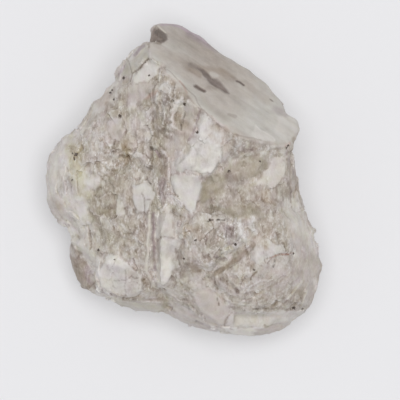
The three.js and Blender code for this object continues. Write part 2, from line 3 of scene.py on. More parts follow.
import bmesh
import bpy
import numpy as np
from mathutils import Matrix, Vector


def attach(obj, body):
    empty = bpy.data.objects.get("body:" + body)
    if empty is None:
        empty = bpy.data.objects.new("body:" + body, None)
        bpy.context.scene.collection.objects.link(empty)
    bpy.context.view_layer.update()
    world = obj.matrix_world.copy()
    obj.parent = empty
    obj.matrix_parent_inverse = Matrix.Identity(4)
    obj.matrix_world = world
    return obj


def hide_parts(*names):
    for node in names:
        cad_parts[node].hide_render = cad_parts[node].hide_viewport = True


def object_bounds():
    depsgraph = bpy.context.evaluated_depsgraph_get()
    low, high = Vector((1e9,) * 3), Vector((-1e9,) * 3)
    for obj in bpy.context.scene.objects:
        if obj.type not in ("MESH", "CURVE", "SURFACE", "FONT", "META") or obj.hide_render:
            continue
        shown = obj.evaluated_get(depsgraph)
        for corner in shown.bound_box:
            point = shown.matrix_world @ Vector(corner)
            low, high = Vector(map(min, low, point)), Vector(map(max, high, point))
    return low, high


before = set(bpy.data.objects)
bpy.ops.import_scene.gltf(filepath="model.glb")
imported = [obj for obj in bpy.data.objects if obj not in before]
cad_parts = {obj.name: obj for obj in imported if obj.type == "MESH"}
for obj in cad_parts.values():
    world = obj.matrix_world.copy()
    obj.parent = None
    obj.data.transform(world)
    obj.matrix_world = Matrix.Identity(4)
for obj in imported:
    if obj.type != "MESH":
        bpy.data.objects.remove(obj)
cadLow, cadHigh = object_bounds()
mm = 0.001
title = "rough diamond"
print(title, "- packed model loaded")


class Wire:
    # One socket in a node tree. Sums on wires add their Math nodes.

    def __init__(self, tree, socket=None):
        self.tree = tree
        self.socket = socket

    def put(self, kind, settings=None, inputs=None, output=0):
        node = self.tree.nodes.new(kind)
        for name, value in (settings or {}).items():
            setattr(node, name, value)
        for name, value in (inputs or {}).items():
            if isinstance(value, Wire):
                self.tree.links.new(value.socket, node.inputs[name])
            else:
                node.inputs[name].default_value = value
        return Wire(self.tree, node.outputs[output])

    def other(self, name):
        # another output of the same node
        return Wire(self.tree, self.socket.node.outputs[name])

    def maths(self, operation, *values):
        return self.put("ShaderNodeMath", {"operation": operation}, dict(enumerate(values)))

    def vector(self, operation, *values, output=0):
        inputs = dict(enumerate(values))
        return self.put("ShaderNodeVectorMath", {"operation": operation}, inputs, output)

    def scaled(self, amount):
        inputs = {"Vector": self, "Scale": amount}
        return self.put("ShaderNodeVectorMath", {"operation": "SCALE"}, inputs)

    def __add__(self, other):
        return self.maths("ADD", self, other)

    def __sub__(self, other):
        return self.maths("SUBTRACT", self, other)

    def __rsub__(self, other):
        return self.maths("SUBTRACT", other, self)

    def __mul__(self, other):
        return self.maths("MULTIPLY", self, other)

    def __rtruediv__(self, other):
        return self.maths("DIVIDE", other, self)

    __radd__ = __add__
    __rmul__ = __mul__

    def between(self, low, high):
        # 0 below low, 1 above high, smooth from one to the other
        span = {"Value": self, "From Min": low, "From Max": high}
        return self.put("ShaderNodeMapRange", {"interpolation_type": "SMOOTHSTEP"}, span)


# Small helpers on points, all of them in millimetres.
farAway = 9.0  # stands for any distance that is too long to matter
waveCells = 32  # the random swells repeat after so many
waveShift = 7.3  # keeps the swells of one seed off those of the next,
waveShifts = 11  # which comes round again after so many seeds


def smoothStep(values, low, high):
    share = np.clip((values - low) / (high - low), 0, 1)
    return share * share * (3 - 2 * share)


def distanceTo(points, path, closed=False):
    path = np.array(path, float)
    starts = path if closed else path[:-1]
    ends = np.roll(path, -1, axis=0) if closed else path[1:]
    nearest = np.full(len(points), np.inf)
    for start, end in zip(starts, ends):
        along = end - start
        share = np.clip(((points - start) @ along) / (along @ along), 0, 1)
        gap = points - start - share[:, None] * along
        nearest = np.minimum(nearest, (gap * gap).sum(axis=1))
    return np.sqrt(nearest)


def isWithin(points, outline):
    within = np.zeros(len(points), bool)
    for i, (x0, y0) in enumerate(outline):
        x1, y1 = outline[(i + 1) % len(outline)]
        if y0 == y1:
            continue
        crosses = (y0 > points[:, 1]) != (y1 > points[:, 1])
        within ^= crosses & (points[:, 0] < x0 + (points[:, 1] - y0) * (x1 - x0) / (y1 - y0))
    return within


def waves(points, size, seed):
    # soft random swells from -1 to 1, about size across
    table = np.random.default_rng(seed).uniform(-1, 1, (waveCells,) * 3)
    swept = np.asarray(points) / size + waveShift * (seed % waveShifts)
    cells = np.floor(swept).astype(int)
    share = swept - cells
    share = share * share * (3 - 2 * share)
    total = np.zeros(len(swept))
    for corner in np.ndindex(2, 2, 2):
        weight = np.prod(np.where(corner, share, 1 - share), axis=1)
        x, y, z = ((cells + corner) % waveCells).T
        total += weight * table[x, y, z]
    return total


def addedWaves(points, layers):
    # several swells at once, each with its size, its share and its seed
    return sum(share * waves(points, size, seed) for size, share, seed in layers)


def coordinates(mesh):
    flat = np.empty(len(mesh.vertices) * 3, np.float32)
    mesh.vertices.foreach_get("co", flat)
    return flat.reshape(-1, 3).astype(float) / mm


def setCoordinates(mesh, points):
    mesh.vertices.foreach_set("co", (points * mm).astype(np.float32).ravel())
    mesh.update()


def outwardOf(mesh):
    flat = np.empty(len(mesh.vertices) * 3, np.float32)
    mesh.vertex_normals.foreach_get("vector", flat)
    return flat.reshape(-1, 3).astype(float)


def setAttribute(mesh, name, values):
    attribute = mesh.attributes.get(name) or mesh.attributes.new(name, "FLOAT", "POINT")
    attribute.data.foreach_set("value", np.asarray(values, np.float32))


def relaxed(mesh, points, rounds, weight=1.0):
    # each point moved towards the middle of its neighbours, again and again
    edges = np.empty(len(mesh.edges) * 2, np.int32)
    mesh.edges.foreach_get("vertices", edges)
    a, b = edges.reshape(-1, 2).T
    count = np.bincount(a, minlength=len(points)) + np.bincount(b, minlength=len(points))
    share = 0.5 * np.broadcast_to(weight, len(points))[:, None]
    for _ in range(rounds):
        total = np.empty_like(points)
        for axis in range(3):
            total[:, axis] = np.bincount(a, points[b, axis], len(points))
            total[:, axis] += np.bincount(b, points[a, axis], len(points))
        points = points + share * (total / np.maximum(count, 1)[:, None] - points)
    return points


def baked(piece, name):
    # the piece with its modifiers worked in, as a plain mesh
    graph = bpy.context.evaluated_depsgraph_get()
    mesh = bpy.data.meshes.new_from_object(piece.evaluated_get(graph))
    mesh.name = name
    piece.modifiers.clear()
    piece.data = mesh
    return mesh


# The places on top of the stone, each with its finish: those of the smooth cleavage face, then
# the rest. An outline is filled and a path is drawn width wide. rise lifts or sinks it, smooth
# takes the broken grain away, line draws a thin crevice round it and paints shade into it, soft
# is how wide its edge fades, strength is how much of the ground it hides, and anywhere takes it
# over the glass too.
glassPlaces = {
    "glassFace": {"colour": "glass", "soft": 0.03, "smooth": 1, "outline": [
        (-1.26, 4.69), (-1.23, 5.04), (-1.02, 5.39), (-0.49, 5.6), (0.39, 5.43), (1.44, 4.62),
        (2.73, 3.57), (3.57, 2.8), (3.78, 2.45), (4.27, 2.1), (4.27, 1.68), (3.99, 1.3),
        (3.19, 1.33), (2.73, 1.37), (2.14, 1.51), (1.68, 1.61), (1.33, 1.89), (0.91, 2.21),
        (0.6, 2.52), (0.35, 2.87), (0.14, 3.12), (-0.21, 3.5), (-0.6, 3.75), (-0.98, 4.13),
        (-1.19, 4.31),
    ]},
    "glassLight": {"colour": "paleGlass", "soft": 0.5, "outline": [
        (1.9, 2.3), (2.6, 3.5), (3.6, 2.9), (4.3, 2.1), (4.0, 1.2), (3.2, 1.2), (2.1, 1.4),
        (1.5, 1.7), (1.2, 2),
    ]},
    "glassShade": {"colour": "stoneShade", "soft": 0.35, "strength": 0.75, "outline": [
        (-0.91, 5.39), (0.49, 5.04), (1.26, 4.48), (1.61, 3.92), (1.47, 3.15), (0.77, 3.29),
        (-0.14, 4.06), (-0.84, 4.83),
    ]},
    "glassRise": {"colour": "paleGlass", "soft": 0.15, "strength": 0.6, "outline": [
        (-0.75, 4.65), (-0.5, 4.9), (-0.2, 4.75), (0.25, 4.35), (-0.2, 4.35), (-0.6, 4.5),
    ]},
    "longVoid": {"colour": "slate", "soft": 0.03, "rise": -0.02, "strength": 0.95, "outline": [
        (0.44, 3.87), (0.68, 3.86), (0.86, 3.71), (1.01, 3.53), (1.19, 3.49), (1.3, 3.31),
        (1.45, 3.18), (1.6, 2.99), (1.42, 3.03), (1.19, 3.19), (0.97, 3.31), (0.78, 3.51),
        (0.62, 3.73),
    ]},
    "voidHaze": {"colour": "bark", "soft": 0.12, "strength": 0.7, "outline": [
        (-0.02, 4.08), (0.23, 4.01), (0.54, 3.97), (0.89, 3.91), (1.28, 3.85), (1.67, 3.68),
        (1.98, 3.38), (1.67, 3.53), (1.28, 3.71), (0.93, 3.75), (0.66, 3.64), (0.31, 3.68),
        (0.11, 3.85),
    ]},
    "shortVoid": {"colour": "slate", "width": 0.1, "rise": -0.05, "path": [
        (0.42, 3.26), (0.55, 3.17), (0.74, 3.08),
    ]},
    "streakVoid": {"colour": "slate", "width": 0.05, "rise": -0.03, "strength": 0.9, "path": [
        (1.82, 3.45), (1.96, 3.4), (2.1, 3.29),
    ]},
    "endBump": {"colour": "bright", "soft": 0.07, "strength": 0.8, "outline": [
        (3.26, 2.17), (3.54, 2.38), (3.89, 2.17), (4.13, 1.89), (3.99, 1.54), (3.71, 1.4),
        (3.36, 1.44), (3.19, 1.68),
    ]},
    "sliverUnder": {"colour": "white", "soft": 0.03, "strength": 0.5, "outline": [
        (2.5, 1.9), (2.71, 1.71), (2.94, 1.59), (3.14, 1.51), (3.21, 1.39), (3.1, 1.28),
        (2.75, 1.36), (2.51, 1.43), (2.36, 1.58),
    ]},
    "sliver": {"colour": "bright", "width": 0.035, "rise": 0.02, "strength": 0.8, "path": [
        (2.5, 1.9), (2.71, 1.7), (2.94, 1.56), (3.12, 1.49), (3.19, 1.39),
    ]},
}

# Thin strokes on the cleavage face, by look: width and strength, then the points.
glassStrokes = {
    "paleGlass": [
        (0.2, 0.8, (-1.19, 4.38), (-0.98, 4.2), (-0.6, 3.82), (-0.21, 3.52), (0.14, 3.15),
         (0.4, 2.87), (0.7, 2.5), (1, 2.2), (1.4, 1.9), (1.8, 1.65), (2.3, 1.5)),
        (0.09, 0.5, (0.95, 3.71), (1.16, 3.62)),
    ],
    "stoneShade": [
        (0.2, 0.5, (1.47, 1.79), (2.17, 1.51)),
        (0.35, 0.9, (0.25, 5.11), (1.05, 4.66)),
        (0.3, 0.5, (2.21, 3.33), (2.87, 2.8)),
    ],
    "lilac": [
        (0.09, 1, (-0.84, 5.44), (-0.49, 5.44), (-0.21, 5.36), (0.21, 5.18), (0.56, 4.99),
         (0.84, 4.8)),
    ],
    "umber": [
        (0.18, 0.25, (0.88, 3.19), (1.3, 3.19)),
        (0.1, 0.25, (0.88, 3.22), (1.12, 3.19)),
        (0.09, 0.4, (1.57, 2.26), (1.79, 2.19)),
        (0.08, 1, (3.45, 2.69), (3.52, 2.57), (3.59, 2.37)),
        (0.045, 0.8, (3.03, 2.8), (3.1, 2.75)),
    ],
    "plum": [
        (0.15, 0.4, (0.28, 5.18), (0.56, 5.04)),
        (0.22, 0.85, (0.21, 5.11), (1.16, 4.59)),
        (0.2, 0.4, (3.19, 2.46), (3.54, 2.3)),
    ],
    "slate": [
        (0.14, 0.45, (0.23, 3.97), (0.39, 3.91), (0.58, 3.79)),
    ],
    "bark": [
        (0.1, 0.5, (0.54, 3.94), (0.89, 3.89), (1.28, 3.81), (1.55, 3.71)),
        (0.2, 0.5, (1.23, 3.78), (1.68, 3.54)),
        (0.12, 0.8, (0.25, 3.82), (0.56, 3.64)),
    ],
}

places = {
    "tipFacet": {"colour": "umber", "soft": 0.02, "anywhere": True, "strength": 0.95, "smooth": 0.9,
        "outline": [
        (-1.2, 4.85), (-1.1, 5.25), (-0.97, 5.43), (-0.89, 5.34), (-0.8, 5.21), (-0.67, 5.08),
        (-0.6, 4.94), (-0.56, 4.86), (-0.67, 4.76), (-0.8, 4.71), (-0.99, 4.77),
    ]},
    "tipShade": {"colour": "soot", "anywhere": True, "strength": 0.95, "outline": [
        (-1, 5.22), (-0.84, 5.21), (-0.67, 5.06), (-0.61, 4.94), (-0.58, 4.86), (-0.67, 4.77),
        (-0.8, 4.72), (-0.88, 4.81), (-0.75, 4.9), (-0.96, 5.02),
    ]},
    "tipEdge": {"colour": "cream", "anywhere": True, "width": 0.04, "strength": 0.9, "path": [
        (-0.86, 5.34), (-0.77, 5.25), (-0.64, 5.11),
    ]},
    "tipGreen": {"colour": "olive", "anywhere": True, "width": 0.08, "strength": 0.5, "path": [
        (-1.03, 5.34), (-0.93, 5.26),
    ]},
    "shoulderStrip": {"colour": "sage", "soft": 0.03, "smooth": 0.9, "outline": [
        (-1.33, 4.69), (-1.19, 4.38), (-1.23, 4.2), (-1.54, 3.85), (-1.82, 3.64), (-1.96, 3.57),
        (-2.24, 3.71), (-2.03, 4.13), (-1.68, 4.52), (-1.47, 4.73),
    ]},
    "shoulderPlate": {"colour": "bright", "soft": 0.035, "smooth": 0.85, "line": 0.5, "outline": [
        (-1.23, 4.2), (-0.98, 4.1), (-0.81, 3.92), (-0.95, 3.57), (-1.23, 3.43), (-1.54, 3.4),
        (-1.82, 3.36), (-1.75, 3.61), (-1.51, 3.85),
    ]},
    "shoulderRose": {"colour": "rose", "smooth": 0.7, "line": 0.4, "outline": [
        (-1.86, 3.29), (-1.54, 3.4), (-1.12, 3.43), (-0.98, 3.29), (-1.26, 2.94), (-1.47, 2.66),
        (-1.72, 2.52), (-1.93, 2.42), (-1.96, 2.8),
    ]},
    "crestChip": {"colour": "clay", "soft": 0.03, "line": 0.8, "outline": [
        (-0.77, 3.92), (-0.56, 3.71), (-0.56, 3.43), (-0.77, 3.36), (-0.88, 3.61),
    ]},
    "crestWarm": {"colour": "bright", "soft": 0.025, "rise": 0.03, "outline": [
        (-0.95, 3.01), (-0.81, 2.91), (-0.81, 2.66), (-0.95, 2.7), (-1.02, 2.91),
    ]},
    "crestWarmEast": {"colour": "sage", "soft": 0.025, "rise": 0.02, "strength": 0.6, "outline": [
        (-0.28, 3.47), (-0.11, 3.4), (-0.14, 3.19), (-0.28, 3.22),
    ]},
    "crestRust": {"colour": "rust", "anywhere": True, "width": 0.05, "strength": 0.35, "path": [
        (-0.14, 3.43), (0, 3.26), (0.11, 3.01),
    ]},
    "oliveBand": {"colour": "olive", "soft": 0.12, "smooth": 0.3, "outline": [
        (-1.3, 2.87), (-0.95, 2.66), (-0.74, 2.03), (-0.56, 1.47), (-0.63, 0.77), (-0.7, 0.14),
        (-1.05, 0.07), (-1.12, 0.77), (-1.09, 1.4), (-1.12, 2.1), (-1.37, 2.52),
    ]},
    "spineChip": {"colour": "frost", "soft": 0.03, "strength": 0.5, "line": 0.5, "outline": [
        (-1.58, 2.38), (-1.19, 2.49), (-1.09, 2.21), (-1.33, 2.07), (-1.54, 2.17),
    ]},
    "spineChipLow": {"colour": "bright", "soft": 0.03, "line": 0.5, "outline": [
        (-1.37, 1.72), (-1.16, 1.75), (-1.09, 1.51), (-1.26, 1.37), (-1.4, 1.51),
    ]},
    "spineSliver": {"colour": "cream", "soft": 0.03, "line": 0.4, "outline": [
        (-1.96, 2.17), (-1.86, 2.21), (-1.82, 1.82), (-1.86, 1.47), (-2, 1.54),
    ]},
    "ringRim": {"colour": "blush", "soft": 0.03, "strength": 0.95, "rise": 0.06, "smooth": 0.75,
        "outline": [
        (-0.53, 2.03), (-0.49, 2.38), (-0.32, 2.66), (-0.07, 2.87), (0.04, 2.77), (-0.21, 2.56),
        (-0.35, 2.28), (-0.39, 1.96), (-0.21, 1.75), (-0.42, 1.72),
    ]},
    "ringHeart": {"colour": "olive", "soft": 0.03, "strength": 0.5, "smooth": 0.8, "outline": [
        (-0.32, 2.38), (-0.14, 2.49), (-0.04, 2.31), (-0.07, 2.07), (-0.25, 1.96), (-0.35, 2.14),
    ]},
    "ringEast": {"colour": "rose", "soft": 0.05, "strength": 0.9, "smooth": 0.7, "outline": [
        (0.07, 2.59), (0.32, 2.66), (0.46, 2.45), (0.42, 2.03), (0.21, 1.61), (0, 1.19),
        (-0.25, 0.81), (-0.53, 0.74), (-0.56, 1.12), (-0.39, 1.47), (-0.07, 1.65), (0.07, 2.03),
    ]},
    "glassEdge": {"colour": "umber", "anywhere": True, "width": 0.03, "strength": 0.5, "path": [
        (-0.59, 3.85), (-0.14, 3.4), (0.36, 2.9), (0.61, 2.48), (1.06, 2.04), (1.46, 1.7),
        (1.73, 1.58), (2.36, 1.47), (2.71, 1.39),
    ]},
    "crownBlush": {"colour": "blush", "soft": 0.1, "smooth": 0.4, "strength": 0.8, "outline": [
        (-0.74, 1.33), (-0.42, 1.65), (-0.14, 1.82), (0.21, 2.17), (0.56, 2.28), (1.09, 2.38),
        (1.54, 1.93), (1.68, 1.4), (1.54, 0.7), (1.09, 0.28), (0.56, 0.18), (0.21, 0.28),
        (-0.14, 0.14), (-0.56, 0.18), (-0.74, 0.7),
    ]},
    "crownEast": {"colour": "stoneShade", "soft": 0.08, "smooth": 0.3, "strength": 0.45,
        "outline": [
        (1.47, 2.17), (1.96, 1.82), (2.38, 1.61), (2.73, 1.4), (2.31, 1.05), (1.89, 0.77),
        (1.54, 0.63), (1.4, 1.4),
    ]},
    "crownPlate": {"colour": "frost", "soft": 0.03, "smooth": 0.6, "line": 0.5, "outline": [
        (0.68, 2.45), (0.83, 2.37), (0.97, 2.14), (1.09, 1.98), (1.32, 1.71), (1.42, 1.48),
        (1.3, 1.28), (1.24, 1.05), (1.34, 0.8), (1.2, 0.66), (1.16, 0.39), (0.97, 0.23),
        (0.58, 0.18), (0.39, 0.35), (0.11, 0.37), (-0.2, 0.27), (-0.28, 0.47), (-0.3, 0.7),
        (-0.12, 0.82), (0.07, 0.93), (0.19, 1.17), (0.31, 1.44), (0.46, 1.65), (0.5, 1.98),
        (0.58, 2.22),
    ]},
    "middlePlate": {"colour": "frost", "soft": 0.03, "smooth": 0.9, "line": 0.5, "outline": [
        (-0.39, 0.11), (-0.14, 0.18), (0.14, 0.21), (0.42, 0.14), (0.63, 0), (0.63, -0.35),
        (0.49, -0.7), (0.42, -1.05), (0.25, -1.19), (0.11, -0.98), (-0.11, -0.81), (-0.25, -0.53),
        (-0.46, -0.21),
    ]},
    "smallPlate": {"colour": "frost", "soft": 0.03, "smooth": 0.85, "line": 0.6, "outline": [
        (-1.77, -0.16), (-1.58, -0.09), (-1.33, -0.07), (-1.09, -0.19), (-0.97, -0.41),
        (-1.05, -0.62), (-1.14, -0.76), (-1.19, -0.99), (-1.31, -1.18), (-1.48, -1.15),
        (-1.7, -1.03), (-1.77, -0.8), (-1.81, -0.53),
    ]},
    "westChip": {"colour": "bright", "soft": 0.07, "smooth": 0.6, "line": 0.5, "strength": 0.9,
        "outline": [
        (-2.35, -0.7), (-2.24, -0.53), (-2.1, -0.63), (-2.03, -0.98), (-2.1, -1.3), (-2.31, -1.23),
    ]},
    "footChip": {"colour": "milk", "soft": 0.03, "strength": 0.9, "line": 0.4, "outline": [
        (-0.67, -0.7), (-0.42, -0.46), (-0.25, -0.63), (-0.28, -0.91), (-0.56, -0.81),
    ]},
    "slabTop": {"colour": "bright", "soft": 0.05, "smooth": 0.9, "line": 0.4, "strength": 0.8,
        "outline": [
        (-0.65, -0.84), (-0.45, -0.97), (-0.39, -1.19), (-0.37, -1.61), (-0.33, -1.89),
        (-0.61, -1.94), (-0.78, -1.97), (-0.91, -2.1), (-0.98, -1.93), (-0.96, -1.54),
        (-0.92, -1.17), (-0.81, -0.99),
    ]},
    "slabLow": {"colour": "frost", "soft": 0.06, "smooth": 0.6, "line": 0.3, "outline": [
        (-0.84, -2.12), (-0.74, -2), (-0.47, -1.94), (-0.12, -2.04), (-0.05, -2.16), (-0.12, -2.31),
        (-0.24, -2.47), (-0.28, -2.7), (-0.25, -2.94), (-0.32, -3.13), (-0.45, -3.36),
        (-0.55, -3.6), (-0.74, -3.71), (-0.92, -3.6), (-0.98, -3.42), (-0.93, -3.13),
        (-0.88, -2.86), (-0.84, -2.55),
    ]},
    "slabChip": {"colour": "bright", "soft": 0.02, "rise": 0.03, "outline": [
        (-0.21, -1.89), (-0.07, -1.86), (-0.04, -2.07), (-0.18, -2.07),
    ]},
    "rib": {"colour": "cream", "width": 0.085, "rise": 0.02, "smooth": 0.9, "path": [
        (-1.18, -1.23), (-1.21, -1.69), (-1.24, -2.28), (-1.28, -2.86), (-1.29, -3.17),
        (-1.17, -3.4), (-1.02, -3.68),
    ]},
    "ribShade": {"colour": "plum", "width": 0.085, "rise": -0.01, "strength": 0.9, "smooth": 0.7,
        "path": [
        (-1.05, -1.15), (-1.05, -1.48), (-1.07, -1.94), (-1.05, -2.16), (-1.02, -2.51),
        (-0.99, -2.9), (-0.97, -3.19),
    ]},
    "southWestPlate": {"colour": "frost", "soft": 0.025, "smooth": 0.75, "line": 0.8,
        "strength": 0.95, "outline": [
        (-2.7, -2.59), (-2.49, -2.54), (-2.28, -2.57), (-2.1, -2.73), (-1.89, -2.94),
        (-1.68, -3.12), (-1.49, -3.29), (-1.45, -3.54), (-1.48, -3.78), (-1.54, -3.96),
        (-1.75, -4.03), (-2.03, -4.06), (-2.31, -4.01), (-2.49, -3.87), (-2.7, -3.78),
        (-2.99, -3.71), (-2.99, -3.43), (-3.02, -3.15), (-2.84, -2.87),
    ]},
    "westLedge": {"colour": "bright", "soft": 0.03, "smooth": 0.8, "outline": [
        (-3.96, -1.79), (-3.71, -2.03), (-3.43, -2.31), (-3.19, -2.59), (-2.98, -2.73),
        (-3.05, -2.98), (-3.26, -2.87), (-3.5, -2.59), (-3.78, -2.31), (-3.99, -2.1),
    ]},
    "westFlake": {"colour": "bark", "smooth": 0.7, "strength": 0.9, "outline": [
        (-3.92, -2.14), (-3.64, -2.52), (-3.36, -2.91), (-3.15, -3.33), (-3.05, -3.78),
        (-3.36, -3.85), (-3.68, -3.75), (-3.85, -3.33), (-4.06, -2.91), (-4.03, -2.38),
    ]},
    "southWestLip": {"colour": "sage", "soft": 0.03, "smooth": 0.9, "outline": [
        (-2.31, -4.17), (-1.89, -4.2), (-1.3, -4.24), (-0.74, -4.27), (-0.67, -4.66),
        (-1.19, -4.73), (-1.89, -4.59), (-2.31, -4.34),
    ]},
    "footHaze": {"colour": "sage", "soft": 0.15, "smooth": 0.85, "strength": 0.55, "outline": [
        (-0.81, -3.85), (-0.52, -3.62), (-0.2, -3.21), (0.15, -2.86), (0.3, -3.33), (0.04, -3.79),
        (-0.43, -4.14), (-0.67, -4.38),
    ]},
    "southLip": {"colour": "milk", "soft": 0.03, "smooth": 0.9, "strength": 0.9, "outline": [
        (-0.56, -4.31), (-0.14, -4.34), (0.39, -4.66), (0.84, -4.97), (1.16, -5.15), (0.74, -5.15),
        (0.21, -4.87), (-0.32, -4.59),
    ]},
    "southLipUnder": {"colour": "milk", "soft": 0.03, "smooth": 0.8, "outline": [
        (-0.7, -4.48), (-0.32, -4.59), (0.21, -4.87), (0.74, -5.15), (1.33, -5.25), (1.09, -5.46),
        (0.39, -5.32), (-0.32, -4.9),
    ]},
    "southSlab": {"colour": "rose", "soft": 0.03, "smooth": 0.9, "line": 0.4, "outline": [
        (0.28, -3.89), (0.74, -3.71), (1.02, -3.82), (1.33, -4.13), (1.58, -4.38), (1.54, -4.73),
        (1.4, -5.04), (1.09, -5.11), (0.77, -4.87), (0.56, -4.55), (0.42, -4.27),
    ]},
    "southKnob": {"colour": "rose", "soft": 0.06, "smooth": 0.6, "strength": 0.9, "outline": [
        (0.14, -3.5), (0.42, -3.33), (0.74, -3.47), (0.74, -3.75), (0.32, -3.89),
    ]},
    "southLedge": {"colour": "bright", "soft": 0.03, "smooth": 0.9, "strength": 0.8, "outline": [
        (1.58, -4.66), (1.96, -4.59), (2.59, -4.59), (3.36, -4.55), (3.99, -4.52), (4.31, -4.55),
        (4.06, -4.83), (3.54, -4.94), (2.84, -5.04), (2.14, -5.15), (1.68, -5.11), (1.47, -5.01),
    ]},
    "southLedgeLow": {"colour": "white", "soft": 0.03, "smooth": 0.9, "outline": [
        (1.47, -5.18), (2.14, -5.15), (2.84, -5.08), (2.59, -5.39), (2.17, -5.64), (1.68, -5.46),
    ]},
    "southFlake": {"colour": "rose", "soft": 0.03, "smooth": 0.8, "outline": [
        (2.38, -5.29), (2.73, -5.15), (3.19, -5.01), (3.68, -4.94), (3.71, -5.18), (3.08, -5.39),
        (2.59, -5.46),
    ]},
    "southEastPlate": {"colour": "frost", "soft": 0.02, "smooth": 0.75, "line": 1, "strength": 0.8,
        "outline": [
        (2.25, -2.36), (2.43, -2.07), (2.63, -1.87), (2.95, -2.04), (3.42, -2.28), (3.55, -2.44),
        (3.51, -2.57), (3.19, -2.6), (3.02, -2.7), (2.86, -2.79), (2.63, -2.95), (2.34, -2.74),
    ]},
    "southEastFlank": {"colour": "rose", "soft": 0.15, "smooth": 0.7, "strength": 0.5, "outline": [
        (2.72, -3.21), (3.07, -2.8), (3.65, -2.63), (4.18, -2.86), (4.35, -3.38), (4.18, -3.79),
        (3.65, -3.62), (3.19, -3.91), (2.84, -3.68),
    ]},
    "southBand": {"colour": "rose", "soft": 0.1, "smooth": 0.65, "strength": 0.3, "outline": [
        (1.96, -3.89), (2.59, -3.64), (3.01, -3.4), (3.36, -3.12), (3.99, -3.01), (4.34, -3.43),
        (4.13, -3.85), (3.64, -3.71), (3.29, -3.99), (3.01, -4.48), (2.45, -4.45), (1.75, -4.17),
    ]},
    "trough": {"colour": "bark", "width": 0.115, "rise": -0.05, "strength": 0.85, "smooth": 0.9,
        "path": [
        (2.44, -2.23), (2.31, -2.39), (2.02, -2.61), (1.67, -2.87), (1.32, -3.1), (1.12, -3.23),
    ]},
    "knuckle": {"colour": "cream", "soft": 0.03, "strength": 0.7, "line": 0.6, "outline": [
        (1.61, -3), (1.87, -2.83), (2.25, -2.95), (2.21, -3.21), (1.96, -3.62), (1.67, -3.33),
    ]},
    "moundTop": {"colour": "cream", "soft": 0.05, "strength": 0.4, "rise": 0.02, "outline": [
        (0.18, -1.3), (0.49, -1.19), (0.98, -1.23), (1.47, -1.33), (2.03, -1.3), (2.1, -1.47),
        (1.47, -1.51), (0.91, -1.4), (0.35, -1.47),
    ]},
    "moundSliver": {"colour": "frost", "soft": 0.03, "strength": 0.8, "line": 0.5, "outline": [
        (1.89, -1.37), (2.1, -1.47), (2.14, -2.1), (1.96, -2.38), (1.86, -1.96),
    ]},
    "darkPatch": {"colour": "bark", "soft": 0.05, "smooth": 0.7, "outline": [
        (0.14, -2.87), (0.49, -2.87), (0.56, -3.15), (0.21, -3.22),
    ]},
    "hollow": {"colour": "olive", "soft": 0.06, "smooth": 0.75, "strength": 0.95, "outline": [
        (0.67, -0.07), (0.91, 0.14), (1.33, 0.35), (1.79, 0.6), (2.31, 0.74), (2.94, 0.81),
        (3.01, 0.63), (2.87, 0.42), (2.52, 0.14), (2.17, -0.04), (1.68, -0.04), (1.33, -0.25),
        (0.98, -0.6), (0.7, -0.91), (0.56, -0.63),
    ]},
    "eastPlate": {"colour": "ivory", "soft": 0.025, "smooth": 0.85, "line": 0.4, "outline": [
        (3.12, 0.84), (3.43, 0.84), (3.57, 0.53), (3.54, 0.14), (3.29, -0.14), (2.87, -0.18),
        (2.45, -0.11), (2.66, 0.11), (2.94, 0.39),
    ]},
    "bandShade": {"colour": "stoneShade", "soft": 0.1, "strength": 0.7, "smooth": 0.35, "outline": [
        (0.91, -0.21), (1.96, -0.14), (2.73, -0.28), (3.43, -0.28), (3.5, -0.84), (2.73, -1.12),
        (1.61, -0.98), (0.84, -0.84),
    ]},
    "oliveStrip": {"colour": "olive", "soft": 0.05, "smooth": 0.7, "strength": 0.9, "outline": [
        (1.12, -0.95), (1.79, -0.95), (2.31, -0.81), (2.63, -1.05), (2.52, -1.3), (1.96, -1.33),
        (1.47, -1.19),
    ]},
    "eastRim": {"colour": "rose", "soft": 0.12, "smooth": 0.8, "strength": 0.8, "outline": [
        (3.71, -0.91), (4.13, -1.19), (4.48, -1.96), (4.76, -2.63), (4.9, -3.15), (4.69, -4.06),
        (4.34, -4.62), (4.2, -4.2), (4.17, -3.5), (4.06, -2.87), (3.78, -2.1), (3.43, -1.47),
    ]},
    "eastEdge": {"colour": "bark", "soft": 0.05, "smooth": 0.7, "strength": 0.5, "outline": [
        (3.61, 0.7), (3.85, 0.7), (4.03, 0.14), (4.06, -0.42), (3.78, -0.42), (3.61, 0.07),
    ]},
    "endRust": {"colour": "rust", "width": 0.07, "strength": 0.4, "anywhere": True, "path": [
        (3.56, 1.18), (3.7, 1.27),
    ]},
    "westLightHigh": {"colour": "white", "soft": 0.07, "smooth": 0.5, "outline": [
        (-3.43, 0.14), (-3.22, 0.07), (-3.01, 0.11), (-2.94, -0.14), (-3.15, -0.35), (-3.4, -0.25),
    ]},
    "westLightLow": {"colour": "white", "soft": 0.07, "smooth": 0.5, "outline": [
        (-3.85, -0.67), (-3.57, -0.6), (-3.36, -0.88), (-3.4, -1.19), (-3.57, -1.4), (-3.75, -1.12),
    ]},
    "westGreen": {"colour": "celery", "soft": 0.1, "strength": 0.4, "smooth": 0.6, "outline": [
        (-4.06, 1.05), (-3.64, 1.19), (-3.36, 0.7), (-3.43, 0.14), (-3.85, -0.07), (-4.2, 0.28),
    ]},
    # painted light: the thin edge of the west lobe is painted white for the light that shines
    # through it and to offset its slope away from the lamp
    "westRimPaintedLight": {"colour": "white", "soft": 0.08, "smooth": 0.5, "strength": 0.8, "outline": [
        (-4.41, 1.05), (-4.13, 1.23), (-3.99, 0.7), (-4.13, 0), (-4.41, -0.35), (-4.62, 0.14),
    ]},
    "lobeRimPaintedLight": {"colour": "white", "soft": 0.12, "smooth": 0.85, "strength": 0.8, "outline": [
        (-2.24, 3.57), (-2.52, 3.36), (-2.8, 3.01), (-3.15, 2.66), (-3.5, 1.96), (-4.06, 1.47),
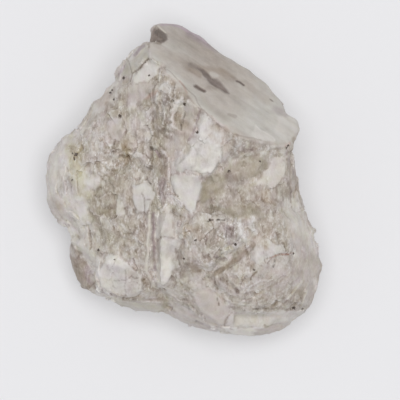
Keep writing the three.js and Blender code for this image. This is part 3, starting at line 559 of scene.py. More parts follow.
        (-4.52, 1.05), (-4.83, 0.49), (-4.9, -0.7), (-4.62, -1.26), (-4.13, -1.47), (-3.99, -1.19),
        (-4.34, -0.88), (-4.48, -0.35), (-4.48, 0.28), (-4.2, 0.84), (-3.78, 1.33), (-3.29, 1.89),
        (-2.94, 2.38), (-2.52, 2.66), (-2.24, 3.08),
    ]},
    "lobePale": {"colour": "celery", "soft": 0.12, "strength": 0.8, "smooth": 0.6, "outline": [
        (-4.13, 0.77), (-3.71, 0.7), (-3.36, 0.28), (-3.22, -0.35), (-3.36, -1.12), (-3.64, -1.47),
        (-3.78, -0.91), (-3.71, -0.28), (-3.99, 0.28),
    ]},
    "lobeClay": {"colour": "rose", "soft": 0.12, "strength": 0.35, "smooth": 0.8, "outline": [
        (-4.62, -0.63), (-4.27, -0.56), (-3.85, -0.91), (-3.99, -1.37), (-4.41, -1.26),
    ]},
    "leftPlate": {"colour": "rose", "soft": 0.03, "smooth": 0.7, "line": 0.5, "outline": [
        (-2.7, 2.03), (-2.45, 2.17), (-2.17, 2.1), (-2.07, 1.68), (-2.14, 1.4), (-2.38, 1.44),
        (-2.59, 1.68),
    ]},
    "lobeFlake": {"colour": "frost", "strength": 0.7, "line": 0.4, "outline": [
        (-3.08, 1.44), (-2.87, 1.33), (-2.84, 1.05), (-3.05, 0.98), (-3.15, 1.19),
    ]},
    "lobeFlakeLow": {"colour": "cream", "soft": 0.03, "strength": 0.8, "line": 0.5, "outline": [
        (-2.59, 0.88), (-2.21, 0.88), (-2.17, 0.7), (-2.52, 0.67),
    ]},
    "rosePlate": {"colour": "rose", "strength": 0.9, "line": 0.4, "outline": [
        (-1.86, 0.32), (-1.51, 0.39), (-1.4, 0.07), (-1.75, -0.04),
    ]},
    "ringTop": {"colour": "bright", "width": 0.2, "strength": 0.7, "smooth": 0.6, "path": [
        (-0.21, 2.52), (0.11, 2.24),
    ]},
    "crownNotch": {"colour": "bark", "width": 0.2, "strength": 0.7, "smooth": 0.6, "path": [
        (-0.18, 2.03), (0.32, 1.79),
    ]},
    "crownWest": {"colour": "bark", "width": 0.32, "strength": 0.65, "smooth": 0.5, "path": [
        (-0.39, 1.93), (0.07, 1.47),
    ]},
}

# Plain patches, by look: how wide the edge fades and how strong, then the outline.
patches = {
    "lilac": [
        (0.08, 0.6, (-3.47, -2.94), (-3.17, -3.03), (-3.17, -3.33), (-3.17, -3.69), (-3.36, -3.64),
         (-3.4, -3.29)),
    ],
    "umber": [
        (0.05, 0.2, (-1.89, -3.22), (-1.65, -3.19), (-1.61, -3.43), (-1.82, -3.5)),
        (0.05, 0.3, (-3.15, -2.45), (-2.8, -2.49), (-2.8, -2.63), (-3.01, -2.73)),
    ],
    "plum": [
        (0.08, 0.6, (-0.91, -0.07), (-0.7, 0.07), (-0.53, -0.21), (-0.49, -0.56), (-0.74, -0.77),
         (-0.88, -0.56)),
        (0.06, 0.4, (1.37, -1.54), (1.82, -1.54), (1.86, -2.03), (1.54, -2.17), (1.33, -1.89)),
        (0.08, 0.35, (1.44, -1.54), (1.87, -1.52), (1.86, -1.79), (1.73, -2.03), (1.8, -2.35),
         (1.58, -2.17), (1.42, -2), (1.37, -1.72)),
        (0.06, 0.35, (1.96, 1.16), (2.38, 1.19), (2.45, 0.84), (2.1, 0.77)),
    ],
    "bark": [
        (0.06, 0.4, (0, -3.99), (0.25, -4.1), (0.42, -4.41), (0.49, -4.66), (0.21, -4.48),
         (0, -4.2)),
        (0.1, 0.6, (3.43, -3.92), (3.78, -3.71), (4.13, -3.78), (4.17, -4.2), (3.92, -4.41),
         (3.5, -4.34)),
        (0.06, 0.75, (0.63, -1.89), (0.98, -1.89), (1.16, -2.1), (0.98, -2.31), (0.67, -2.21)),
        (0.02, 1, (-2.49, 0.53), (-2.17, 0.6), (-2.17, 0.46), (-2.45, 0.39)),
    ],
    "bright": [
        (0.03, 0.9, (-1.96, 2.45), (-1.75, 2.7), (-1.54, 2.63), (-1.82, 2.35)),
        (0.07, 0.85, (-3.4, 0.07), (-3.12, 0.04), (-3.08, -0.25), (-3.36, -0.28)),
        (0.07, 0.7, (-2.91, -1.26), (-2.52, -1.3), (-2.45, -1.68), (-2.8, -1.72)),
        (0.07, 0.3, (-2.36, -1.4), (-2.27, -1.34), (-2.12, -1.63), (-2.21, -1.78), (-2.35, -1.63)),
    ],
    "white": [
        (0.1, 0.9, (-0.7, -2.7), (-0.39, -2.7), (-0.35, -3.13), (-0.55, -3.56), (-0.86, -3.56),
         (-0.92, -3.33), (-0.86, -3.01)),
        (0.05, 1, (-0.96, -3.25), (-0.74, -3.17), (-0.63, -3.48), (-0.78, -3.66), (-0.94, -3.52)),
        (0.07, 0.9, (-2.74, -2.74), (-2.5, -2.58), (-2.24, -2.6), (-1.8, -2.95), (-2.15, -2.99),
         (-2.59, -2.92)),
        # partly the pale tone beside the mound and partly painted light on the trough wall, which
        # lies in shade
        (0.05, 1, (1.4, -2.49), (1.65, -2.45), (1.65, -2.73), (1.44, -2.77)),
        (0.07, 1, (-3.71, -0.91), (-3.54, -0.91), (-3.5, -1.37), (-3.68, -1.4)),
    ],
    "cream": [
        (0.02, 0.8, (-0.95, 1.4), (-0.84, 1.3), (-0.88, 1.05), (-0.98, 1.09)),
        (0.03, 0.7, (2.28, 0.07), (2.52, 0.14), (2.52, -0.11), (2.31, -0.18)),
        (0.02, 0.8, (2.14, 1.44), (2.24, 1.44), (2.24, 1.12), (2.14, 1.12)),
    ],
    "olive": [
        (0.1, 0.3, (0.98, -0.35), (1.54, -0.21), (2.31, -0.21), (2.59, -0.49), (2.31, -0.77),
         (1.54, -0.81), (0.91, -0.91)),
        (0.15, 0.75, (-3.22, -0.35), (-2.73, -0.14), (-2.17, -0.21), (-1.86, -0.56), (-1.75, -1.23),
         (-1.75, -2.1), (-2.24, -2.45), (-2.94, -2.31), (-3.36, -1.61), (-3.43, -0.91)),
    ],
    "rose": [
        (0.05, 0.8, (-1.86, 2.17), (-1.54, 2.31), (-1.16, 2.17), (-1.12, 1.75), (-1.44, 1.54),
         (-1.75, 1.61)),
    ],
    "clay": [
        (0.1, 0.3, (-1.98, -3.12), (-1.51, -3.27), (-1.51, -3.97), (-1.95, -4.05)),
        (0.06, 0.8, (-0.04, -1.47), (0.21, -1.4), (0.32, -1.82), (0.07, -2.03), (-0.07, -1.82)),
        (0.1, 0.25, (1.89, 0.56), (2.31, 0.63), (2.52, 0.42), (2.17, 0.14), (1.89, 0.21)),
        (0.1, 0.9, (2.59, -0.35), (3.01, -0.35), (3.08, -0.77), (2.66, -0.91)),
    ],
    "frost": [
        (0.04, 0.8, (-0.84, 3.29), (-0.56, 3.43), (-0.35, 3.22), (-0.42, 3.01), (-0.7, 2.94),
         (-0.88, 3.08)),
        (0.07, 0.7, (-2.59, -3.15), (-2.31, -3.01), (-2.1, -3.12), (-2.1, -3.57), (-2.42, -3.57)),
        (0.04, 0.7, (2.24, -1.47), (2.42, -1.37), (2.59, -1.68), (2.45, -1.93), (2.28, -1.75)),
        (0.05, 0.6, (0.77, -2.87), (1.12, -2.8), (1.47, -2.7), (1.33, -2.94), (0.91, -3.15)),
        (0.06, 0.6, (-2.52, 2.14), (-2.21, 2.14), (-2.14, 1.89), (-2.45, 1.89)),
    ],
    "milk": [
        (0.02, 1, (-0.74, 1.05), (-0.6, 0.98), (-0.6, 0.84), (-0.74, 0.84)),
        (0.1, 0.5, (2.94, -2.73), (3.36, -2.66), (3.64, -2.87), (3.36, -3.29), (2.94, -3.22)),
    ],
    "moss": [
        (0.08, 1, (-0.91, -3.99), (-0.56, -3.99), (-0.56, -4.55), (-0.77, -4.55)),
        (0.08, 0.5, (0.67, -0.14), (0.98, -0.07), (1.12, -0.28), (0.91, -0.6), (0.67, -0.81)),
    ],
    "celery": [
        (0.06, 0.9, (1.23, -2.65), (1.39, -2.39), (1.55, -2.26), (1.74, -2.32), (1.66, -2.5),
         (1.47, -2.65), (1.3, -2.74)),
        (0.1, 0.35, (-3.43, -1.96), (-3.12, -2.03), (-2.94, -2.38), (-3.08, -2.66), (-3.36, -2.38)),
    ],
    "honey": [
        (0.16, 0.7, (-4.03, 1.19), (-3.71, 1.33), (-3.5, 1.12), (-3.57, 0.77), (-3.85, 0.6),
         (-4.06, 0.84)),
    ],
    "honeyBrown": [
        (0.16, 1, (-2.28, 1.26), (-2.03, 1.33), (-1.82, 1.12), (-1.79, 0.77), (-2.03, 0.6),
         (-2.21, 0.84)),
    ],
}

# Ribs that stand up and furrows that sink, by look: width, rise and strength, then the path.
ribs = {
    "umber": [
        (0.04, -0.03, 0.8, (-1.23, 4.2), (-1.51, 3.89), (-1.79, 3.68), (-1.86, 3.43)),
        (0.03, -0.02, 0.6, (-1.93, 4.17), (-1.86, 3.92), (-1.82, 3.71)),
        (0.03, -0.01, 0.15, (-0.46, 0.18), (-0.14, 0.25), (0.07, 0.32), (0.28, 0.25), (0.56, 0.11)),
        (0.03, -0.03, 0.6, (-1.46, -0.43), (-1.35, -0.62), (-1.36, -0.84), (-1.38, -1.11)),
        (0.03, -0.02, 0.6, (-1.35, -0.63), (-1.15, -0.67)),
        (0.035, -0.03, 0.5, (-0.95, -2.16), (-0.81, -1.98), (-0.61, -1.96)),
        (0.06, -0.05, 0.6, (-0.28, -2.38), (-0.21, -2.66), (-0.14, -2.91)),
        (0.03, -0.02, 0.5, (-0.04, -2.35), (-0.11, -2.59)),
        (0.05, -0.03, 0.4, (-1.51, -1.54), (-1.61, -2.03), (-1.47, -2.45)),
        (0.035, -0.01, 0.6, (-1.93, -3.41), (-1.84, -3.33), (-1.75, -3.41), (-1.61, -3.36)),
        (0.025, -0.01, 0.4, (-1.89, -3.57), (-1.72, -3.52), (-1.56, -3.61), (-1.58, -3.78)),
        (0.03, -0.03, 0.4, (-2.05, -3.13), (-2.01, -3.43), (-2.07, -3.71), (-2.03, -4.03)),
        (0.07, -0.025, 0.35, (1.58, -4.41), (2.14, -4.48), (2.52, -4.48), (3.01, -4.45),
         (3.71, -4.48)),
        (0.04, -0.03, 0.7, (1.05, -3.29), (1.09, -3.57), (1.19, -3.78)),
        (0.12, -0.03, 0.9, (1.33, -3.43), (1.68, -3.64), (1.89, -3.85)),
        (0.08, -0.02, 0.6, (0.72, -2.7), (0.86, -2.59)),
        (0.05, -0.01, 0.2, (0.74, -0.91), (1.12, -1.05), (1.61, -1.12)),
        (0.06, -0.03, 0.5, (3.61, 0), (3.75, -0.35), (3.71, -0.77)),
    ],
    "plum": [
        (0.07, -0.04, 1, (-0.95, 0.98), (-0.84, 0.81)),
        (0.06, -0.02, 0.7, (0.49, 2.64), (0.56, 2.37), (0.46, 2.06), (0.35, 1.75), (0.19, 1.36)),
    ],
    "bark": [
        (0.06, -0.03, 0.6, (-2.52, -3.96), (-2.24, -4.1), (-1.82, -4.1), (-1.33, -4.17),
         (-0.91, -4.13)),
        (0.11, -0.03, 0.7, (-1.44, -3.47), (-1.23, -3.68), (-0.91, -3.82)),
        (0.04, -0.02, 0.7, (1.58, -4.69), (1.44, -4.9), (1.4, -5.11)),
        (0.06, -0.03, 0.8, (2.54, -3.18), (2.31, -3.41), (2.07, -3.65)),
    ],
    "bright": [
        (0.12, 0.02, 0.8, (1.94, -1.42), (2.03, -1.72), (2.1, -2.1)),
    ],
    "white": [
        (0.05, 0.02, 0.8, (-1.83, -2.43), (-1.82, -2.86)),
    ],
    "soot": [
        (0.08, -0.05, 0.7, (-1.16, 1.09), (-0.98, 1.02)),
        (0.05, -0.03, 0.1, (-1.19, 0.77), (-1.05, 0.49)),
        (0.05, -0.03, 0.6, (-1.3, 0.46), (-1.12, 0.35)),
        (0.05, -0.03, 0.6, (-1.3, 0.11), (-1.23, -0.04), (-1.09, -0.14)),
        (0.05, -0.04, 0.55, (0.04, 2.31), (-0.02, 2.1), (-0.09, 1.72)),
        (0.04, -0.03, 0.8, (0.84, -1.44), (1.02, -1.37)),
        (0.04, -0.03, 1, (1.16, -1.37), (1.4, -1.37)),
        (0.05, -0.03, 0.6, (1.3, -2.42), (1.33, -2.56)),
    ],
    "cream": [
        (0.06, 0.04, 0.6, (3.64, -4.11), (3.89, -3.82), (4.1, -3.54)),
        (0.06, 0.03, 0.8, (4.08, -4.38), (4.2, -4.1), (4.32, -3.85)),
    ],
    "sage": [
        (0.06, 0.03, 1, (1.65, -4.24), (2.14, -4.31), (2.56, -4.31), (2.87, -4.24)),
    ],
    "rose": [
        (0.04, 0.03, 0.6, (-1.58, -1.61), (-1.68, -2.03), (-1.58, -2.31)),
    ],
    "clay": [
        (0.07, -0.015, 0.5, (2.1, -4.17), (2.73, -3.89), (3.22, -3.57), (3.71, -3.29)),
    ],
    "rust": [
        (0.03, -0.015, 0.8, (3.01, -2.7), (3.26, -2.59), (3.57, -2.56), (3.82, -2.52)),
    ],
    "milk": [
        (0.03, 0.02, 0.7, (-2.17, -4.2), (-1.54, -4.24), (-0.84, -4.24)),
        (0.09, 0.02, 0.9, (0.88, -3.71), (1.19, -3.85), (1.51, -4.13), (1.68, -4.34)),
        (0.06, 0.02, 0.6, (1.96, -3.99), (2.59, -3.68), (3.01, -3.47), (3.33, -3.26)),
        (0.05, 0.03, 0.7, (2.11, -3.88), (2.37, -3.65), (2.66, -3.49), (3.04, -3.44)),
        (0.05, 0.03, 0.2, (0.84, -0.81), (1.12, -0.7), (1.54, -0.7)),
        (0.08, 0.03, 0.7, (2.73, 0.95), (3.08, 1.16), (3.57, 1.19)),
    ],
    "moss": [
        (0.09, -0.05, 0.5, (-3.05, 0.77), (-3.01, 1.05), (-2.73, 1.16), (-2.45, 1.12)),
    ],
}

# Strokes of tone, by look: width and strength, then the path.
strokes = {
    "stoneShade": [
        # painted shade that dims an edge of the crown where it catches the lamp
        (0.22, 0.7, (1.02, 1.89), (1.61, 1.65)),
    ],
    "lilac": [
        (0.07, 0.6, (-2.28, 3.64), (-2.1, 3.96)),
    ],
    "umber": [
        (0.022, 0.3, (0.5, 1.21), (0.62, 1.24), (0.5, 1.05)),
        (0.022, 0.3, (0.62, 0.74), (0.68, 0.62)),
        (0.022, 0.5, (1.05, 1.67), (0.91, 1.54), (0.79, 1.44)),
        (0.022, 0.6, (1.05, 2.14), (1.09, 1.98), (1.01, 1.87)),
        (0.022, 0.6, (0.79, 2.31), (0.82, 2.22), (0.89, 2.1)),
        (0.022, 0.5, (-2.01, -3.48), (-2.49, -3.5), (-2.49, -3.68), (-2.38, -3.78)),
        (0.03, 0.3, (-2.73, -2.91), (-2.59, -3.12), (-2.45, -2.92)),
        (0.03, 1, (1.16, -4.1), (1.23, -4.34)),
        # painted shade under the lower edge of the south-east plate
        (0.03, 0.5, (3.36, -2.58), (3.1, -2.68), (2.89, -2.95)),
        (0.025, 0.6, (2.44, -2.4), (2.15, -2.67), (1.79, -2.94), (1.42, -3.2)),
        (0.025, 0.7, (2.26, -2.95), (2.22, -3.21), (1.97, -3.63)),
        (0.09, 0.5, (-3.15, -0.35), (-2.87, -0.28)),
        (0.13, 0.4, (-3.12, -1.86), (-3.05, -1.93)),
    ],
    "plum": [
        (0.08, 0.8, (-1.72, 4.34), (-1.54, 4.55), (-1.4, 4.66)),
        (0.04, 0.7, (0.42, -4.9), (0.67, -5.01)),
        (0.1, 0.6, (1.09, -2.66), (1.38, -2.75)),
    ],
    "bark": [
        (0.12, 0.4, (-3.54, -2.87), (-3.43, -3.29), (-3.47, -3.64)),
        (0.09, 0.5, (-2.59, -1.12), (-2.45, -1.37)),
        (0.2, 0.45, (0.42, 2.87), (0.46, 2.07)),
        (0.28, 0.5, (-0.42, 3.5), (-0.14, 2.66)),
        (0.24, 0.8, (-0.77, 1.02), (-0.67, -0.21)),
        (0.25, 0.4, (-1.93, -0.56), (-1.72, -1.75)),
        (0.3, 0.35, (-1.19, 2.38), (-0.74, 1.54)),
        (0.22, 0.85, (-1.44, -1.4), (-1.44, -2)),
    ],
    "bright": [
        (0.2, 0.85, (1.44, -2.42), (2.17, -2.1)),
        (0.45, 0.8, (3.68, -0.91), (4.2, -1.75)),
    ],
    "white": [
        # a painted highlight near the tip
        (0.07, 1, (-0.48, 4.89), (-0.3, 4.85)),
        # partly the whitish tone there and partly painted light on a facet that tilts away from the
        # lamp
        (0.3, 0.2, (-0.14, 0.53), (0.28, 1.12)),
        (0.06, 0.9, (-0.27, -1.46), (-0.28, -1.77), (-0.25, -2)),
        # painted light on the steep left wall of the slab, which lies in shade
        (0.08, 1, (-0.88, -1.12), (-0.93, -1.54), (-0.93, -1.96)),
        (0.08, 0.9, (-2.93, -3.12), (-2.96, -3.44), (-2.88, -3.7)),
        (0.3, 0.6, (-3.01, -3.4), (-2.38, -4.17)),
        (0.2, 0.7, (4.45, -1.89), (4.55, -2.45)),
        (0.35, 0.9, (-3.22, -2.87), (-3.12, -3.61), (-2.66, -4.13)),
        (0.5, 0.8, (-4.06, -0.63), (-3.71, -1.26), (-3.29, -1.86)),
    ],
    "soot": [
        (0.07, 0.5, (2.52, -4.48), (2.8, -4.38)),
        (0.04, 0.6, (3.19, -2.77), (3.12, -3.01)),
    ],
    "cream": [
        (0.04, 0.9, (0.18, -4.31), (0.28, -4.41)),
        (0.06, 0.8, (3.82, -0.67), (3.96, -0.91)),
    ],
    "clay": [
        (0.25, 0.5, (-4.45, -0.91), (-4.2, -1.3)),
        (0.2, 0.5, (1.54, 1.72), (2.17, 1.47)),
    ],
    "frost": [
        (0.07, 0.4, (2.1, -0.32), (2.24, -0.46), (2.17, -0.63)),
        (0.25, 0.8, (-1.75, -4.59), (-0.56, -4.73)),
    ],
    "rust": [
        (0.1, 0.35, (-0.95, 3.08), (-1.16, 2.94), (-1.3, 2.84)),
    ],
    "moss": [
        (0.07, 0.4, (-1.7, -2.39), (-1.64, -2.74)),
    ],
    "celery": [
        (0.06, 0.5, (-3.1, -3.19), (-3.06, -3.68)),
        (0.25, 0.6, (-4.03, 1.44), (-3.96, 0.98)),
    ],
    "honeyBrown": [
        (0.15, 0.4, (-3.68, 1.09), (-3.5, 1.23)),
    ],
}

# Small strokes drawn round places that a program listed, in the same form.
centredStrokes = {
    "umber": [
        (0.16, 0.6, (3.5, -4.17), (3.71, -4.27)),
        (0.14, 0.45, (-0.21, -1.19), (-0.18, -1.4)),
        (0.14, 0.75, (0.6, 2.56), (0.67, 2.35)),
        (0.14, 0.45, (-2.31, 0.14), (-2.17, 0.14)),
        (0.14, 0.75, (1.89, 1.54), (1.96, 1.4)),
        (0.16, 0.3, (0, 1.33), (0.07, 1.19)),
        (0.2, 0.5, (1.58, 0.07), (1.72, -0.07)),
        (0.16, 0.28, (2, -1.44), (2.21, -1.54)),
        (0.14, 0.35, (-1.44, -1.47), (-1.37, -1.72)),
        (0.14, 0.28, (2.49, -0.21), (2.63, -0.25)),
        (0.14, 0.6, (-0.6, 2.66), (-0.46, 2.56)),
        (0.14, 0.35, (-0.67, 0.77), (-0.6, 0.67)),
        (0.14, 0.35, (-1.37, 1.05), (-1.3, 0.84)),
        (0.14, 0.6, (0.18, 2.87), (0.25, 2.73)),
        (0.13, 0.65, (-3.12, 0.81), (-3.05, 0.74)),
        (0.13, 0.7, (-1.09, -2.66), (-1.02, -2.73)),
        (0.13, 0.4, (1.47, -3.33), (1.54, -3.4)),
        (0.13, 0.4, (-0.32, -2.66), (-0.25, -2.73)),
        (0.13, 0.5, (-1.54, 2.66), (-1.4, 2.45)),
        (0.15, 0.6, (-1.05, -2.56), (-0.98, -2.8)),
        (0.22, 0.7, (-0.77, 0.91), (-0.63, 0.56)),
        (0.2, 0.5, (-0.14, -3.29), (0.18, -3.22)),
        (0.2, 0.8, (1.58, 0.14), (1.82, -0.07)),
        (0.2, 0.6, (-0.74, 1.75), (-0.53, 1.47)),
        (0.28, 0.6, (1.58, 0.11), (1.96, 0)),
        (0.2, 0.7, (-0.25, -3.22), (0.11, -2.98)),
        (0.14, 0.8, (-1.96, -0.98), (-1.89, -1.19)),
        (0.13, 0.6, (-2.35, 0.11), (-2.21, 0.04)),
        (0.15, 0.6, (0.7, -2.59), (0.84, -2.63)),
        (0.2, 0.7, (-0.56, 2.87), (-0.39, 2.77)),
        (0.2, 0.8, (-1.09, 2.31), (-1.02, 2.21)),
    ],
    "plum": [
        (0.16, 0.4, (3.89, 0.42), (3.96, 0.21)),
    ],
    "bark": [
        (0.14, 0.65, (-1.82, 0.63), (-1.75, 0.42)),
        (0.16, 0.6, (0.07, 2.94), (0.28, 2.73)),
        (0.15, 0.5, (1.54, -3.57), (1.65, -3.82)),
        (0.2, 0.5, (-1.58, -1.47), (-1.37, -1.75)),
        (0.2, 0.6, (-3.08, 0.77), (-2.73, 0.84)),
        (0.22, 1, (1.96, -3.19), (2.31, -2.98)),
        (0.18, 0.5, (2.98, -1.44), (3.08, -1.75)),
        (0.2, 0.9, (2.49, -0.67), (2.7, -0.7)),
        (0.18, 0.9, (-1.37, 1.26), (-1.33, 0.91)),
        (0.2, 0.8, (0.56, -1.75), (0.6, -2.03)),
        (0.16, 0.55, (1.16, -1.72), (1.16, -2.07)),
        (0.16, 0.5, (1.37, -3.26), (1.47, -3.33)),
    ],
    "bright": [
        (0.2, 0.6, (1.26, 0.91), (1.65, 0.7)),
        (0.25, 0.7, (-3.4, 0.35), (-3.08, 0.35)),
    ],
    "white": [
        # painted highlight on the mound beside the trough, over its pale tone
        (0.13, 1, (1.44, -2.49), (1.52, -2.71)),
        (0.13, 0.45, (0.07, 2.49), (0.14, 2.35)),
        (0.14, 0.4, (-2.87, -0.42), (-2.8, -0.49)),
        (0.16, 0.4, (-3.33, 1.51), (-3.19, 1.44)),
        (0.16, 0.4, (1.58, -1.93), (1.68, -2.07)),
        (0.13, 0.4, (1.16, 0.6), (1.23, 0.53)),
        (0.14, 0.35, (-3.99, -2.38), (-3.99, -2.52)),
        (0.15, 1, (-0.91, -3.36), (-0.84, -3.43)),
        (0.16, 0.8, (-4.13, -1.58), (-4.13, -1.72)),
        (0.16, 0.4, (-3.26, -3.36), (-3.19, -3.43)),
        (0.16, 0.3, (3.33, -0.56), (3.47, -0.56)),
        (0.14, 0.35, (4.17, -4.17), (4.27, -4.27)),
        (0.14, 0.5, (-2.49, -3.57), (-2.42, -3.68)),
        (0.14, 0.4, (-4.1, 1.68), (-4.03, 1.54)),
        (0.14, 0.3, (-0.11, 0.35), (-0.04, 0.21)),
        (0.13, 0.45, (-1.72, -0.04), (-1.65, -0.11)),
        (0.13, 0.4, (-0.84, 3.99), (-0.77, 3.92)),
        (0.15, 0.7, (-0.98, -3.22), (-0.91, -3.43)),
        (0.15, 0.8, (-2.31, -2.59), (-2.21, -2.84)),
        (0.2, 0.8, (-4.13, -1.4), (-3.99, -1.79)),
        (0.13, 0.6, (2.35, -4.03), (2.52, -4.06)),
        (0.14, 0.7, (4.59, -3.47), (4.66, -3.75)),
        # painted highlight on the mound beside the trough, over its pale tone
        (0.14, 0.8, (1.44, -2.52), (1.58, -2.59)),
        (0.15, 0.6, (-0.98, 3.92), (-0.84, 3.57)),
        (0.25, 0.9, (-4.2, -1.54), (-3.85, -1.82)),
        (0.2, 0.8, (-3.68, -0.7), (-3.4, -0.84)),
        (0.2, 0.6, (3.47, -4.9), (3.82, -4.83)),
        (0.1, 0.7, (-0.95, -1.26), (-0.91, -1.65)),
        (0.15, 0.7, (-2.98, -2.7), (-2.73, -2.8)),
        (0.2, 0.7, (0.77, 0.28), (1.05, 0.35)),
        (0.2, 0.9, (-0.11, 2.63), (-0.04, 2.35)),
        (0.2, 0.8, (1.05, -5.25), (1.47, -5.25)),
    ],
    "sage": [
        (0.13, 0.5, (0.91, -0.91), (0.98, -0.98)),
    ],
    "rose": [
        (0.22, 0.7, (-4.69, -0.81), (-4.52, -1.12)),
    ],
    "clay": [
        (0.2, 0.6, (-0.04, 1.33), (0.14, 1.05)),
        (0.15, 0.6, (-1.86, 1.47), (-1.68, 1.33)),
        (0.12, 0.5, (3.61, -3.22), (3.85, -3.26)),
        (0.15, 0.5, (-4.45, -0.77), (-4.34, -0.98)),
        (0.15, 0.5, (-2.73, 2.77), (-2.63, 2.49)),
        (0.22, 0.5, (-3.5, 1.96), (-3.08, 2.21)),
        (0.2, 0.5, (-3.26, -1.86), (-3.19, -2.24)),
        (0.15, 0.5, (0.95, 1.54), (1.16, 1.33)),
        (0.3, 0.8, (2.56, -2.07), (3.01, -1.75)),
        (0.25, 0.7, (-2.94, 2.7), (-2.66, 2.91)),
        (0.16, 1, (2.73, -2.07), (2.87, -2.31)),
    ],
    "frost": [
        (0.15, 0.6, (4.13, -4.34), (4.31, -4.17)),
    ],
    "milk": [
        (0.14, 0.7, (1.58, -2.07), (1.75, -2.21)),
        (0.14, 0.7, (2.24, -2.35), (2.35, -2.49)),
        (0.22, 0.6, (2.7, 0.98), (3.12, 0.56)),
        (0.2, 0.7, (-1.16, -3.29), (-0.91, -3.36)),
    ],
    "honeyBrown": [
        (0.2, 0.7, (-3.89, 1.09), (-3.75, 0.84)),
    ],
}

# Small strokes whose place, direction, length and width a program listed, in the same form.
# Emptying this table takes away all numbers that are wholly the work of a program.
listedStrokes = {
    "umber": [
        (0.18, 0.3, (2.78, -2.1), (2.68, -2.24)),
        (0.16, 0.35, (2.78, -0.83), (2.61, -0.71)),
        (0.16, 0.35, (-2.47, 1.03), (-2.57, 0.86)),
        (0.15, 0.3, (-3.2, -0.31), (-3.38, -0.25)),
        (0.17, 0.35, (-2.65, 2.66), (-2.67, 2.45)),
        (0.17, 0.3, (2.36, -0.52), (2.47, -0.67)),
        (0.15, 0.35, (3, -4.08), (2.88, -4.25)),
        (0.15, 0.35, (0.96, -2.32), (0.93, -2.51)),
        (0.14, 0.4, (0.17, 2.88), (0.32, 2.72)),
        (0.14, 0.35, (2.77, -4.31), (2.55, -4.37)),
        (0.13, 0.35, (-1.92, -0.99), (-1.93, -1.18)),
        (0.18, 0.35, (1.6, -3.58), (1.69, -3.77)),
        (0.14, 0.35, (-2.38, -1.54), (-2.52, -1.4)),
        (0.16, 0.35, (-0.16, -2.68), (-0.33, -2.78)),
        (0.29, 0.2, (0.73, -2.06), (0.46, -1.86)),
        (0.26, 0.2, (3.23, -1.54), (2.93, -1.68)),
        (0.26, 0.15, (-2.56, 2.6), (-2.83, 2.44)),
        (0.14, 0.4, (-2.44, 3.15), (-2.53, 2.94)),
        (0.14, 0.4, (-2.23, 1.67), (-2.18, 1.48)),
        (0.17, 0.35, (-1.16, 1.29), (-1.36, 1.37)),
        (0.17, 0.35, (-0.55, -0.04), (-0.64, -0.24)),
        (0.17, 0.35, (-1.67, 1.51), (-1.83, 1.36)),
        (0.17, 0.35, (1.33, -1.22), (1.33, -1.44)),
        (0.17, 0.35, (2.14, 1.11), (2.2, 0.92)),
        (0.16, 0.35, (0.56, -2.78), (0.42, -2.89)),
        (0.16, 0.35, (-2.08, -0.43), (-2.12, -0.62)),
        (0.15, 0.35, (-3.06, 2.12), (-3.24, 2.01)),
        (0.17, 0.35, (2.03, -2.91), (2.1, -3.11)),
        (0.17, 0.3, (-1.21, 1.12), (-1.31, 0.91)),
        (0.14, 0.35, (-0.65, -1.75), (-0.75, -1.96)),
        (0.26, 0.2, (3.22, -3.43), (2.94, -3.64)),
        (0.29, 0.2, (4, -3.3), (3.7, -3.14)),
        (0.26, 0.2, (2.36, -3.17), (2.05, -3.06)),
        (0.26, 0.2, (2.37, 1.23), (2.11, 1.43)),
    ],
    "white": [
        (0.13, 0.5, (-2.26, 3.87), (-2.36, 3.69)),
        (0.14, 0.5, (-2.11, 4.08), (-2.23, 3.9)),
        (0.15, 0.4, (-3.99, -2.39), (-3.92, -2.58)),
        (0.16, 0.35, (-4.04, -0.12), (-3.94, -0.3)),
        (0.13, 0.35, (-1.13, 1.75), (-1.32, 1.75)),
        (0.15, 0.35, (-2.66, 0.3), (-2.87, 0.33)),
        (0.16, 0.35, (2.05, -2.33), (1.87, -2.22)),
        (0.15, 0.4, (0.22, -4.6), (0.06, -4.43)),
        (0.15, 0.4, (-2.68, -2.63), (-2.85, -2.76)),
        (0.17, 0.3, (-2.11, -2.04), (-2.23, -2.16)),
        (0.17, 0.35, (3.13, 1.07), (3.1, 0.89)),
        (0.17, 0.35, (0.69, 0.23), (0.5, 0.12)),
        (0.15, 0.3, (0.73, -3.25), (0.88, -3.4)),
        (0.29, 0.3, (-2.57, -3.34), (-2.89, -3.24)),
        (0.24, 0.3, (-2.44, -4.05), (-2.74, -3.93)),
        (0.21, 0.6, (-1.6, 4.52), (-1.83, 4.3)),
        (0.18, 0.4, (-3.96, 1.54), (-4.16, 1.33)),
    ],
}

# Carbon spots in the stone: place, and how far each reaches.
specks = [
    (-3.76, 0.9, 0.065), (-3.82, 0.74, 0.04), (-3.88, 0.93, 0.02), (-2.22, 2.21, 0.06),
    (-2.1, 3.54, 0.045), (-2.5, 3.13, 0.03), (-2.56, 3.04, 0.035), (-2.435, 2.81, 0.035),
    (-1.2, 3.62, 0.03), (0.035, 2.62, 0.04), (0.47, 1.65, 0.05), (1.58, 0.3, 0.05),
    (2.66, 0.65, 0.03), (3.64, 1.2, 0.035), (3.58, 1.12, 0.035), (-3.9, 0, 0.03),
    (0.42, -2.08, 0.04), (1.8, -2.23, 0.045), (0.92, -1.37, 0.04), (-2.42, -2.76, 0.025),
    (-2.98, -2.43, 0.04), (3.85, -4.45, 0.06), (4.16, -4.51, 0.04), (2.45, -3.1, 0.03),
    (3.83, -2.55, 0.035), (0, -2.72, 0.03), (-3.6, -3.75, 0.04),
]

